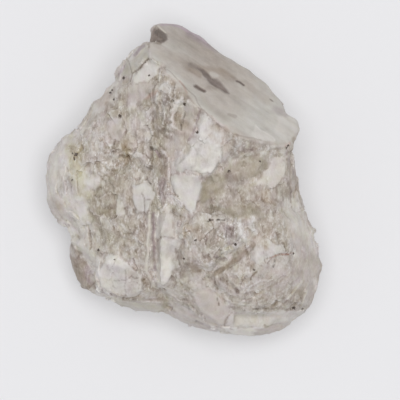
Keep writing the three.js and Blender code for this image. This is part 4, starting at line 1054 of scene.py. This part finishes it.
# How each finish looks in even light, as red, green and blue out of 255.
looks = {
    "white": (209, 206, 201),
    "bright": (198, 195, 189),
    "frost": (185, 182, 178),
    "milk": (184, 178, 173),
    "cream": (188, 183, 171),
    "ivory": (190, 185, 178),
    "blush": (186, 177, 173),
    "rose": (181, 174, 168),
    "sage": (180, 176, 166),
    "celery": (190, 186, 166),
    "clay": (169, 158, 146),
    "olive": (152, 144, 129),
    "moss": (148, 140, 122),
    "umber": (118, 104, 94),
    "bark": (142, 129, 116),
    "stoneShade": (160, 151, 142),
    "plum": (142, 128, 130),
    "lilac": (165, 150, 157),
    "slate": (94, 81, 74),
    "soot": (84, 74, 66),
    "rust": (150, 100, 78),
    "honey": (176, 164, 134),
    "honeyBrown": (144, 130, 108),
    "glass": (175, 169, 161),
    "paleGlass": (182, 180, 173),
}

# How the places lie on the stone. A pair of values is where something starts and where it is whole.
placing = {
    "soft": 0.04,  # how wide an edge fades where its place doesn't say
    "blur": 0.02,  # added to the fade of every edge
    "core": 0.25,  # the share of a path's width that is covered fully
    "margin": 0.2,  # how far around a place points are looked at
    "jogSize": 0.3,  # edges wander in swells of this size
    "jogSeeds": (8, 12),
    "jog": 0.03,
    "fraySize": 0.13,  # outlines are frayed as well
    "fraySeeds": (9, 13),
    "fray": 0.075,
    "glassCalm": 0.06,  # how much of the fraying is missing on the cleavage face
    "facesUp": (-0.15, 0.1),
    "highEnough": (1.3, 2.0),
    "nearGlass": (0.1, 0.05),
    "facesNorth": (0.2, 0.4),
}

# The smooth cleavage face on the right of the tip: a point of its plane, how steep it is and which
# way it faces in degrees, and the streaks that run along it.
glassPlane = {
    "through": (1.0, 2.2, 6.5),
    "dip": 61.7,
    "toward": 54.8,
    "streakWay": (0.827, -0.562),
    "streakLength": 0.9,
    "streakWidth": 0.1,
}


def reflectance(look):
    # from how a finish looks to how much of the light it sends back
    toe, whole, power = 0.055, 1.055, 2.4
    share = np.array(look, float) / 255
    return ((share + toe) / whole) ** power


def coverOf(points, place):
    # 1 in a place, 0 outside it, and the distance from its edge
    width = place.get("width", 0)
    soft = place.get("soft", placing["soft"]) + placing["blur"]
    shape = place.get("outline") or place.get("path")
    points = points[:, -2:] if "outline" in place else points[:, :2]
    margin = width + soft + placing["margin"]
    near = np.all((points > np.min(shape, axis=0) - margin), axis=1)
    near &= np.all((points < np.max(shape, axis=0) + margin), axis=1)
    cover = np.zeros(len(points))
    gap = np.full(len(points), farAway)
    some = points[near]
    if "outline" in place:
        away = distanceTo(some, shape, True) * np.where(isWithin(some, shape), -1, 1)
        cover[near] = smoothStep(away, soft, -soft)
    else:
        away = distanceTo(some, shape)
        cover[near] = smoothStep(away, width, placing["core"] * width)
    gap[near] = away
    return cover * place.get("strength", 1), gap


def offGlass(points):
    # how far each point is from the plane of the smooth cleavage face
    dip, toward = math.radians(glassPlane["dip"]), math.radians(glassPlane["toward"])
    level = math.sin(dip)
    outward = (level * math.cos(toward), level * math.sin(toward), math.cos(dip))
    return np.abs((points - glassPlane["through"]) @ np.array(outward))


def alongStreaks(points):
    # the points squeezed so that soft swells on them turn into the streaks of that face
    x, y = glassPlane["streakWay"]
    length, width = glassPlane["streakLength"], glassPlane["streakWidth"]
    return points @ np.array([(x / length, -y / width, 0), (y / length, x / width, 0), (0, 0, 0)])


def upperPlaces(points, outward):
    # the points seen from above, jogged a little for the paths and more for the outlines
    jog = [waves(points, placing["jogSize"], seed) for seed in placing["jogSeeds"]]
    fray = [waves(points, placing["fraySize"], seed) for seed in placing["fraySeeds"]]
    flat = points[:, :2] + placing["jog"] * np.column_stack(jog)
    up = smoothStep(outward[:, 2], *placing["facesUp"])
    up = up * smoothStep(points[:, 2], *placing["highEnough"])
    onGlass = smoothStep(offGlass(points), *placing["nearGlass"])
    onGlass = onGlass * smoothStep(outward[:, 1], *placing["facesNorth"])
    ragged = flat + placing["jog"] * np.column_stack(jog)
    reach = placing["fray"] - placing["glassCalm"] * onGlass
    ragged += np.column_stack(fray) * reach[:, None]
    return np.hstack([flat, ragged]), up, onGlass


def areaOf(place):
    shape = np.array(place.get("outline") or place["path"])
    after = np.roll(shape, -1, axis=0)
    if "outline" in place:
        return abs((shape[:, 0] * after[:, 1] - shape[:, 1] * after[:, 0]).sum()) / 2
    return 2 * place["width"] * np.hypot(*(after - shape)[:-1].T).sum()


def fromTable(table, kind, *names):
    # the places of a table that is sorted by look, in the same form as the named ones
    for colour, rows in table.items():
        for row in rows:
            place = dict(zip(names, row))
            yield {"colour": colour, kind: row[len(names):], **place}


def sortedPlaces(up, onGlass):
    # every place, the broad ones first, with how far each point lies on the surface it belongs to
    glassOnes = [*glassPlaces.values(), *fromTable(glassStrokes, "path", "width", "strength")]
    for place in sorted(glassOnes, key=areaOf, reverse=True):
        yield place, onGlass
    others = [
        *places.values(),
        *fromTable(patches, "outline", "soft", "strength"),
        *fromTable(strokes, "path", "width", "strength"),
        *fromTable(centredStrokes, "path", "width", "strength"),
        *fromTable(listedStrokes, "path", "width", "strength"),
        *fromTable(ribs, "path", "width", "rise", "strength"),
    ]
    for place in sorted(others, key=areaOf, reverse=True):
        yield place, up if place.get("anywhere") else up * (1 - onGlass)


# The stone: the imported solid, remeshed finely enough to carry its broken surface.
stoneShape = {
    "weld": 1e-7,  # in metres
    "voxel": 0.05,
    "baseLevel": 0.08,  # below this the stone is the flat break that it rests on
    "restLevel": 0.02,  # below this it is brought down to the floor
    "mostTriangles": 190000,
    "keptSlope": 0.22,  # ground that faces up more than this keeps all of its triangles
    "softenRounds": 6,
    "easeRounds": 40,
    "easeWeight": 1.8,
    "easeLevels": (1.5, 2.5),
    "easeGlass": (0.1, 0.03),
    "sharpAngle": 38,  # degrees
}

# Where the solid's cuts are eased, because the stone's own are finer.
eased = {
    "groove": {"width": 0.55, "path": [
        (-0.84, 0.3), (-0.98, -0.6), (-1.02, -1.6), (-1.0, -2.6), (-0.95, -3.3), (-0.75, -4.1),
    ]},
    "crack": {"width": 0.35, "path": [(-0.5, 0.28), (0, 0.32), (0.35, 0.15), (0.7, 0)]},
    "trough": {"width": 0.55, "path": [(2.4, -2), (1.8, -2.6), (1.1, -3.2)]},
}

# How coarse the broken surface is from 0 to 1, and what takes the grain away.
coarseness = {
    "usual": 0.72,
    "wander": (1.1, 0.28, 5),  # size, share and seed of its swells
    "smoothLoss": 0.85,
    "lowLoss": 0.4,
    "lowLevels": (2.4, 1.2),
    "glassEdge": (0.07, 0.22),
    "baseEnd": 0.3,
}

# How the broken surface is made: cells that lean their own ways, and swells between them.
hackle = {
    "Block Size": 0.62 * mm,
    "Block Tilt": 0.19,
    "Chip Size": 0.24 * mm,
    "Chip Tilt": 0.16,
    "Swell Size": 0.4 * mm,
    "Swell Rise": 0.16 * mm,
    "Warp": 0.1 * mm,
    "Seed": 7,
}

# What stays the same in every broken surface.
hackleForm = {
    "seedStep": 3.1 * mm,
    "swellDetail": 4.0,
    "swellRoughness": 0.6,
    "blockStretch": (1.5, 0.8, 1),
    "chipStretch": (1.4, 0.8, 1),
    "leanGain": 2,
    "blockTone": 0.5,
}

# The crevices round the places, whose colour is darkened there as painted shade, and the pits
# of the carbon spots.
crevices = {
    "away": 0.03,
    "width": 0.03,
    "depth": 0.03,
    "colour": "umber",
    "paintedShadeWidth": 0.035,
    "paintedShadeShare": 0.6,
    "gaps": (0.45, 33),  # size and seed of the swells that break them up
    "gapEdge": (-0.4, 0.4),
    "pitDepth": 0.03,
    "pitRim": 0.02,
}


def copyOfSolid():
    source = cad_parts["rough_diamond"]
    mesh = source.data.copy()
    work = bmesh.new()
    work.from_mesh(mesh)
    bmesh.ops.remove_doubles(work, verts=work.verts, dist=stoneShape["weld"])
    work.to_mesh(mesh)
    work.free()
    mesh.materials.clear()
    piece = bpy.data.objects.new("diamondStone", mesh)
    bpy.context.scene.collection.objects.link(piece)
    return piece


def remeshed(piece):
    remesh = piece.modifiers.new("evenMesh", "REMESH")
    remesh.mode = "VOXEL"
    remesh.voxel_size = stoneShape["voxel"] * mm
    remesh.use_smooth_shade = True
    mesh = baked(piece, "diamondEven")
    points = relaxed(mesh, coordinates(mesh), stoneShape["softenRounds"])
    weight = np.zeros(len(points))
    for place in eased.values():
        weight = np.maximum(weight, coverOf(points[:, :2], place)[0])
    weight *= stoneShape["easeWeight"] * smoothStep(points[:, 2], *stoneShape["easeLevels"])
    weight = np.maximum(weight, smoothStep(offGlass(points), *stoneShape["easeGlass"]))
    setCoordinates(mesh, relaxed(mesh, points, stoneShape["easeRounds"], weight))
    return mesh


def grainOf(points, outward):
    # how coarse the broken surface is at each point, from 0 to 1
    flat, up, onGlass = upperPlaces(points, outward)
    grain = coarseness["usual"] + addedWaves(points, [coarseness["wander"]])
    for place, there in sortedPlaces(up, onGlass):
        if "smooth" in place:
            loss = coarseness["smoothLoss"] * place["smooth"]
            grain = grain * (1 - loss * coverOf(flat, place)[0] * there)
    low = smoothStep(points[:, 2], *coarseness["lowLevels"])
    grain = grain * (1 - coarseness["lowLoss"] * low)
    grain = grain * smoothStep(offGlass(points), *coarseness["glassEdge"])
    return grain * smoothStep(points[:, 2], stoneShape["baseLevel"], coarseness["baseEnd"])


def hackleTree():
    tree = bpy.data.node_groups.new("brokenSurface", "GeometryNodeTree")
    tree.interface.new_socket("Stone", in_out="INPUT", socket_type="NodeSocketGeometry")
    for name, value in hackle.items():
        kind = "NodeSocketInt" if isinstance(value, int) else "NodeSocketFloat"
        tree.interface.new_socket(name, in_out="INPUT", socket_type=kind)
    tree.interface.new_socket("Finish", in_out="INPUT", socket_type="NodeSocketMaterial")
    tree.interface.new_socket("Stone", in_out="OUTPUT", socket_type="NodeSocketGeometry")
    middle = (0.5, 0.5, 0.5)
    start = Wire(tree)
    given = start.put("NodeGroupInput")
    position = start.put("GeometryNodeInputPosition")
    outward = start.put("GeometryNodeInputNormal")
    number = {"data_type": "FLOAT"}
    grain = start.put("GeometryNodeInputNamedAttribute", number, {"Name": "grain"})
    shift = given.other("Seed") * hackleForm["seedStep"]
    moved = start.vector("ADD", position, start.put("ShaderNodeCombineXYZ", {}, {"X": shift}))
    swell = start.put("ShaderNodeTexNoise", {}, {
        "Vector": moved,
        "Scale": 1 / given.other("Swell Size"),
        "Detail": hackleForm["swellDetail"],
        "Roughness": hackleForm["swellRoughness"],
    })
    swirl = start.vector("SUBTRACT", swell.other("Color"), middle)
    moved = start.vector("ADD", moved, swirl.scaled(given.other("Warp")))

    def facets(name, stretch):
        # flat cells that each lean their own way, and a tone for each
        narrow = start.vector("MULTIPLY", moved, stretch)
        scale = 1 / given.other(name + " Size")
        cells = start.put("ShaderNodeTexVoronoi", {}, {"Vector": narrow, "Scale": scale})
        lean = start.vector("SUBTRACT", cells.other("Color"), middle)
        gap = start.vector("SUBTRACT", narrow, cells.other("Position"))
        slope = start.vector("DOT_PRODUCT", lean, gap, output="Value")
        tone = start.put("ShaderNodeSeparateXYZ", {}, {"Vector": lean}, 2)
        return slope * given.other(name + " Tilt") * hackleForm["leanGain"], tone

    blocks, blockTone = facets("Block", hackleForm["blockStretch"])
    chips, chipTone = facets("Chip", hackleForm["chipStretch"])
    rise = blocks + chips + (swell - 0.5) * given.other("Swell Rise")
    moves = {"Geometry": given.other("Stone"), "Offset": outward.scaled(rise * grain)}
    pushed = start.put("GeometryNodeSetPosition", {}, moves)
    toned = start.put("GeometryNodeStoreNamedAttribute", {"domain": "POINT", **number}, {
        "Geometry": pushed,
        "Name": "facetTone",
        "Value": blockTone * hackleForm["blockTone"] + chipTone,
    })
    whole = start.put("GeometryNodeRealizeInstances", {}, {"Geometry": toned})
    covered = {"Geometry": whole, "Material": given.other("Finish")}
    done = start.put("GeometryNodeSetMaterial", {}, covered)
    end = tree.nodes.new("NodeGroupOutput")
    tree.links.new(done.socket, end.inputs["Stone"])
    return tree


def breakSurface(piece, material):
    modifier = piece.modifiers.new("brokenSurface", "NODES")
    modifier.node_group = hackleTree()
    values = dict(hackle, Finish=material)
    for socket in modifier.node_group.interface.items_tree:
        if socket.name in values:
            modifier[socket.identifier] = values[socket.name]
    return baked(piece, "diamondBroken")


def creviceOf(gap, width):
    # 1 in the thin crevice just outside a place, 0 away from it
    return np.exp(-((gap - crevices["away"]) / width) ** 2)


def cutPlaces(mesh):
    # lifts and sinks the places, and cuts the thin crevices round them
    points = coordinates(mesh)
    outward = outwardOf(mesh)
    flat, up, onGlass = upperPlaces(points, outward)
    rise = np.zeros(len(points))
    for place, there in sortedPlaces(up, onGlass):
        if "rise" not in place and "line" not in place:
            continue
        cover, gap = coverOf(flat, place)
        depth = crevices["depth"] * place.get("line", 0)
        cut = depth * creviceOf(gap, crevices["width"])
        rise += there * (place.get("rise", 0) * cover - cut)
    for x, y, reach in specks:
        gap = np.hypot(flat[:, 0] - x, flat[:, 1] - y)
        rise -= crevices["pitDepth"] * smoothStep(gap, reach + crevices["pitRim"], 0) * up
    setCoordinates(mesh, points + outward * rise[:, None])


def thin(piece):
    # fewer triangles on the steep sides and underneath, so that the top keeps all of its detail
    group = piece.vertex_groups.new(name="thinned")
    steep = np.nonzero(outwardOf(piece.data)[:, 2] < stoneShape["keptSlope"])[0]
    group.add(steep.tolist(), 1.0, "REPLACE")
    print(title, "- share that may be thinned", round(len(steep) / len(piece.data.vertices), 2))
    triangles = sum(len(face.vertices) - 2 for face in piece.data.polygons)
    decimate = piece.modifiers.new("thin", "DECIMATE")
    decimate.ratio = min(1, stoneShape["mostTriangles"] / triangles)
    decimate.vertex_group = "thinned"
    thinned = baked(piece, "diamondStone")
    piece.vertex_groups.clear()
    print(title, "- thinned from", triangles, "to", len(thinned.polygons), "triangles")
    return thinned


def fitToSolid(mesh):
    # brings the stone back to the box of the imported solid
    points = coordinates(mesh)
    low, high = points.min(axis=0), points.max(axis=0)
    wantedLow, wantedHigh = np.array(cadLow) / mm, np.array(cadHigh) / mm
    points = wantedLow + (points - low) / (high - low) * (wantedHigh - wantedLow)
    points[points[:, 2] < stoneShape["restLevel"], 2] = 0
    setCoordinates(mesh, points)


# How the colour goes on, from the broad drift down to the grain. Swells are given as size, share
# and seed, or as size and seed.
finish = {
    "ground": "rose",
    "drift": 0.8,
    "drifts": (
        ("olive", ((0.9, 1, 21), (0.4, 0.5, 22)), (-0.5, 0.9)),
        ("sage", ((0.7, 1, 23), (0.3, 0.5, 24)), (0.1, 0.9)),
    ),
    "flecks": (("bright", (0.2, 41), 0.5), ("umber", (0.16, 42), 0.3)),
    "fleckStretch": (1.3, 0.8, 1),
    "fleckEdge": (0.3, 0.5),
    # hollows: painted shade in the hollows and painted light on the ridges, at two scales
    "hollows": ((3, 0.012, 0.5), (24, 0.08, 1)),  # rounds of smoothing, depth and share
    "hollowShade": 0.3,
    "blotches": ((0.5, 1, 27), (0.19, 0.8, 28)),
    "blotch": 0.08,
    "veins": (0.6, 31),
    "veinWidth": 0.05,
    "veinGaps": (0.9, 32),
    "veinGapEdge": (0, 0.5),
    "vein": 0.2,
    "veinPolished": 0.3,  # what is left of a vein on polished ground
    "veinRough": 0.7,  # what rough ground adds to that
    "tints": ((1, 0.16, 0.032), (2, 0.22, 0.055)),  # channel, size and how far it wanders
    "tintSeed": 50,
    "tintGlassLoss": 0.7,
    "streaks": ((1, 1, 25), (2.3, 0.6, 26)),  # how much finer, share and seed
    "streak": 0.13,
    "gain": (1.4, 1.37, 1.35),  # brightens every look alike
    "most": 0.92,  # no colour sends back more of the light
    "carbonReach": (1.6, 0.02),
}


def groundColour(points):
    colour = reflectance(looks[finish["ground"]])
    for name, layers, edge in finish["drifts"]:
        share = smoothStep(addedWaves(points, layers), *edge)
        colour = colour + share[:, None] * finish["drift"] * (reflectance(looks[name]) - colour)
    return colour


def paintedHollowShade(mesh, points, outward):
    # painted shade and light: below 0 on ridges, which are painted lighter, and above 0 in hollows,
    # which are painted darker
    hollow = np.zeros(len(points))
    for rounds, depth, share in finish["hollows"]:
        away = (relaxed(mesh, points, rounds) - points) * outward
        hollow += share * finish["hollowShade"] * np.clip(away.sum(axis=1) / depth, -1, 1)
    return hollow


def carbonOf(points, up):
    carbon = np.zeros(len(points))
    wider, more = finish["carbonReach"]
    for x, y, reach in specks:
        gap = np.hypot(points[:, 0] - x, points[:, 1] - y)
        carbon = np.maximum(carbon, up * (1 - gap / (wider * reach + more)))
    return carbon


def veinsOf(points, rough):
    veins = np.exp(-(waves(points, *finish["veins"]) / finish["veinWidth"]) ** 2)
    veins = veins * smoothStep(waves(points, *finish["veinGaps"]), *finish["veinGapEdge"])
    return veins * (finish["veinPolished"] + finish["veinRough"] * rough)


def paint(mesh):
    points = coordinates(mesh)
    outward = outwardOf(mesh)
    flat, up, onGlass = upperPlaces(points, outward)
    colour = groundColour(points)
    polish = onGlass.copy()
    broken = smoothStep(waves(points, *crevices["gaps"]), *crevices["gapEdge"])
    dark = reflectance(looks[crevices["colour"]])
    for place, there in sortedPlaces(up, onGlass):
        cover, gap = coverOf(flat, place)
        cover *= there
        colour += cover[:, None] * (reflectance(looks[place["colour"]]) - colour)
        # painted shade: the colour darkened in the thin crevice round the place
        if "line" in place:
            share = creviceOf(gap, crevices["paintedShadeWidth"]) * place["line"] * there * broken
            colour += crevices["paintedShadeShare"] * share[:, None] * (dark - colour)
        if there is not onGlass and "smooth" in place:
            polish += cover * (place["smooth"] - polish)
    rough = 1 - np.clip(polish + onGlass, 0, 1)
    for name, swells, reach in finish["flecks"]:
        cover = smoothStep(waves(points * finish["fleckStretch"], *swells), *finish["fleckEdge"])
        cover = cover * rough * reach
        colour += cover[:, None] * (reflectance(looks[name]) - colour)
    blotches = finish["blotch"] * addedWaves(points, finish["blotches"])
    colour *= (1 + blotches - finish["vein"] * veinsOf(points, rough))[:, None]
    for channel, size, reach in finish["tints"]:
        tint = reach * waves(points, size, finish["tintSeed"])
        colour[:, channel] *= 1 + tint * (1 - finish["tintGlassLoss"] * onGlass)
    run = alongStreaks(points)
    streaks = sum(share * waves(run * finer, 1, seed) for finer, share, seed in finish["streaks"])
    # tone darkens the hollows and lightens the ridges as painted shade and light, and adds the
    # streaks of the cleavage face
    tone = paintedHollowShade(mesh, points, outward) + finish["streak"] * streaks * onGlass
    colour = np.clip(colour * finish["gain"], 0, finish["most"]) ** (1 + tone)[:, None]
    shade = mesh.attributes.new("shade", "FLOAT_COLOR", "POINT")
    filled = np.column_stack([colour, np.ones(len(points))])
    shade.data.foreach_set("color", filled.astype(np.float32).ravel())
    setAttribute(mesh, "polish", polish)
    setAttribute(mesh, "carbon", carbonOf(points, up))
    setAttribute(mesh, "grain", grainOf(points, outward))


# The crystal's material. Swells are given as size, and sometimes detail.
crystal = {
    "transmission": 0.26,
    "ior": 2.42,
    "sheen": 0.12,
    "absorbColour": (0.88, 0.82, 0.72, 1),
    "absorbDensity": 60.0,
    "noiseRoughness": 0.6,
    "fibrous": (1.8, 0.8, 1.2),
    "fleck": {"size": 0.1, "detail": 2.0},
    "fleckEdge": (0.04, 0.18),
    "fleckShare": 0.6,
    "pit": {"size": 0.12, "detail": 2.0, "turn": (0.3, 0, 0.2)},
    "pitEdge": (0.06, 0.2),
    "pitShare": 0.45,
    "facetShare": 0.58,
    "fine": 0.09,
    "fineShares": (0.35, 1.4),  # on smooth ground, and what grain adds
    "broad": 0.3,
    "broadShares": (0.5, 0.6),
    "carbonColour": (0.055, 0.032, 0.018, 1),
    "carbonSwell": 0.06,
    "carbonRagged": 1.3,
    "carbonEdge": (0.39, 0.53),
    "carbonShare": 0.97,
    "roughness": 0.64,
    "polishLoss": 0.06,
    "roughSwell": 0.17,
    "roughWander": 0.2,
    "bump": {"size": 0.07, "detail": 2.0},
    "bumpLoss": 0.9,
    "bumpStrength": 0.3,
    "bumpHeight": 0.02 * mm,
}


def crystalFinish():
    material = bpy.data.materials.new("roughCrystal")
    material.use_nodes = True
    tree = material.node_tree
    tree.nodes.clear()
    start = Wire(tree)
    position = start.put("ShaderNodeTexCoord").other("Object")

    def mottle(size, detail=3.0, stretch=(1, 1, 1), turn=(0, 0, 0)):
        inputs = {"Vector": position, "Scale": stretch, "Rotation": turn}
        turned = start.put("ShaderNodeMapping", {}, inputs)
        return start.put("ShaderNodeTexNoise", {"noise_dimensions": "3D"}, {
            "Vector": turned,
            "Scale": 1 / (size * mm),
            "Detail": detail,
            "Roughness": crystal["noiseRoughness"],
        }) - 0.5

    def attribute(name, output="Fac"):
        return start.put("ShaderNodeAttribute", {"attribute_name": name}).other(output)

    def rising(shares, amount):
        return shares[0] + shares[1] * amount

    polish = attribute("polish")
    grain = attribute("grain")
    fibrous = crystal["fibrous"]
    flecks = mottle(**crystal["fleck"], stretch=fibrous).between(*crystal["fleckEdge"])
    pits = mottle(**crystal["pit"], stretch=fibrous).between(*crystal["pitEdge"])
    lift = attribute("facetTone") * grain * crystal["facetShare"]
    lift = lift + mottle(crystal["fine"], stretch=fibrous) * rising(crystal["fineShares"], grain)
    lift = lift + mottle(crystal["broad"]) * rising(crystal["broadShares"], grain)
    lift = lift + (flecks * crystal["fleckShare"] - pits * crystal["pitShare"]) * grain
    shade = {"Color": attribute("shade", "Color"), "Gamma": 1 - lift}
    colour = start.put("ShaderNodeGamma", {}, shade)
    ragged = attribute("carbon") + mottle(crystal["carbonSwell"]) * crystal["carbonRagged"]
    black = ragged.between(*crystal["carbonEdge"]) * crystal["carbonShare"]
    mixed = {0: black, 6: colour, 7: crystal["carbonColour"]}
    colour = start.put("ShaderNodeMix", {"data_type": "RGBA"}, mixed, 2)
    wander = mottle(crystal["roughSwell"]) * crystal["roughWander"]
    relief = start.put("ShaderNodeBump", {}, {
        "Height": mottle(**crystal["bump"]) * (1 - polish * crystal["bumpLoss"]),
        "Strength": crystal["bumpStrength"],
        "Distance": crystal["bumpHeight"],
    })
    surface = start.put("ShaderNodeBsdfPrincipled", {}, {
        "Base Color": colour,
        "Roughness": crystal["roughness"] - polish * crystal["polishLoss"] + wander,
        "Normal": relief,
        "IOR": crystal["ior"],
        "Transmission Weight": crystal["transmission"],
        "Specular IOR Level": crystal["sheen"],
    })
    inside = start.put("ShaderNodeVolumeAbsorption", {}, {
        "Color": crystal["absorbColour"],
        "Density": crystal["absorbDensity"],
    })
    end = tree.nodes.new("ShaderNodeOutputMaterial")
    tree.links.new(surface.socket, end.inputs["Surface"])
    tree.links.new(inside.socket, end.inputs["Volume"])
    return material


def makeStone():
    material = crystalFinish()
    stone = copyOfSolid()
    even = remeshed(stone)
    print(title, "- even mesh with", len(even.polygons), "faces")
    setAttribute(even, "grain", grainOf(coordinates(even), outwardOf(even)))
    broken = breakSurface(stone, material)
    cutPlaces(broken)
    paint(broken)
    finished = thin(stone)
    fitToSolid(finished)
    finished.set_sharp_from_angle(angle=math.radians(stoneShape["sharpAngle"]))
    finished.materials.clear()
    finished.materials.append(material)
    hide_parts("rough_diamond")
    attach(stone, "root")
    print(title, "- stone finished")


# The sheet that it lies on, the light and the camera.
studio = {
    "floorSize": 8000,
    "floorColour": (0.585, 0.585, 0.6, 1),
    "floorRoughness": 0.85,
    "floorGlow": 0.22,
    "glowColour": (1, 1, 1, 1),
    "keyAt": (20, 30, 520),
    "keySize": 300,
    "keyPower": 1.62,
    "worldColour": (0.96, 0.96, 0.98, 1),
    "worldStrength": 0.475,
    "lens": 1200,
    "sensor": 36,
    "clip": (0.002, 10),  # in metres
    "lookAt": (0.56, -0.7, 3.0),
    "frameWidth": 14.0,
}


def layFloor():
    half = studio["floorSize"] / 2 * mm
    mesh = bpy.data.meshes.new("paleSheet")
    corners = [(-half, -half, 0), (half, -half, 0), (half, half, 0), (-half, half, 0)]
    mesh.from_pydata(corners, [], [(0, 1, 2, 3)])
    floor = bpy.data.objects.new("paleSheet", mesh)
    bpy.context.scene.collection.objects.link(floor)
    material = bpy.data.materials.new("paleSheet")
    material.use_nodes = True
    matt = material.node_tree.nodes["Principled BSDF"]
    matt.inputs["Base Color"].default_value = studio["floorColour"]
    matt.inputs["Roughness"].default_value = studio["floorRoughness"]
    matt.inputs["Emission Color"].default_value = studio["glowColour"]
    matt.inputs["Emission Strength"].default_value = studio["floorGlow"]
    mesh.materials.append(material)


def lightStudio():
    data = bpy.data.lights.new("softKey", "AREA")
    data.shape = "DISK"
    data.size = studio["keySize"] * mm
    data.energy = studio["keyPower"]
    key = bpy.data.objects.new("softKey", data)
    key.location = Vector(studio["keyAt"]) * mm
    key.rotation_mode = "QUATERNION"
    key.rotation_quaternion = (-key.location).to_track_quat("-Z", "Y")
    bpy.context.scene.collection.objects.link(key)
    world = bpy.data.worlds.new("paleRoom")
    world.use_nodes = True
    glow = world.node_tree.nodes["Background"]
    glow.inputs["Color"].default_value = studio["worldColour"]
    glow.inputs["Strength"].default_value = studio["worldStrength"]
    bpy.context.scene.world = world


def placeCamera():
    data = bpy.data.cameras.new("fromAbove")
    data.lens = studio["lens"]
    data.sensor_width = studio["sensor"]
    data.clip_start, data.clip_end = studio["clip"]
    away = studio["frameWidth"] * mm * data.lens / data.sensor_width
    camera = bpy.data.objects.new("fromAbove", data)
    camera.location = Vector(studio["lookAt"]) * mm + Vector((0, 0, away))
    bpy.context.scene.collection.objects.link(camera)
    bpy.context.scene.camera = camera


makeStone()
layFloor()
lightStudio()
placeCamera()
bpy.context.scene.view_settings.view_transform = "Standard"
print(title, "- floor, light and camera placed")
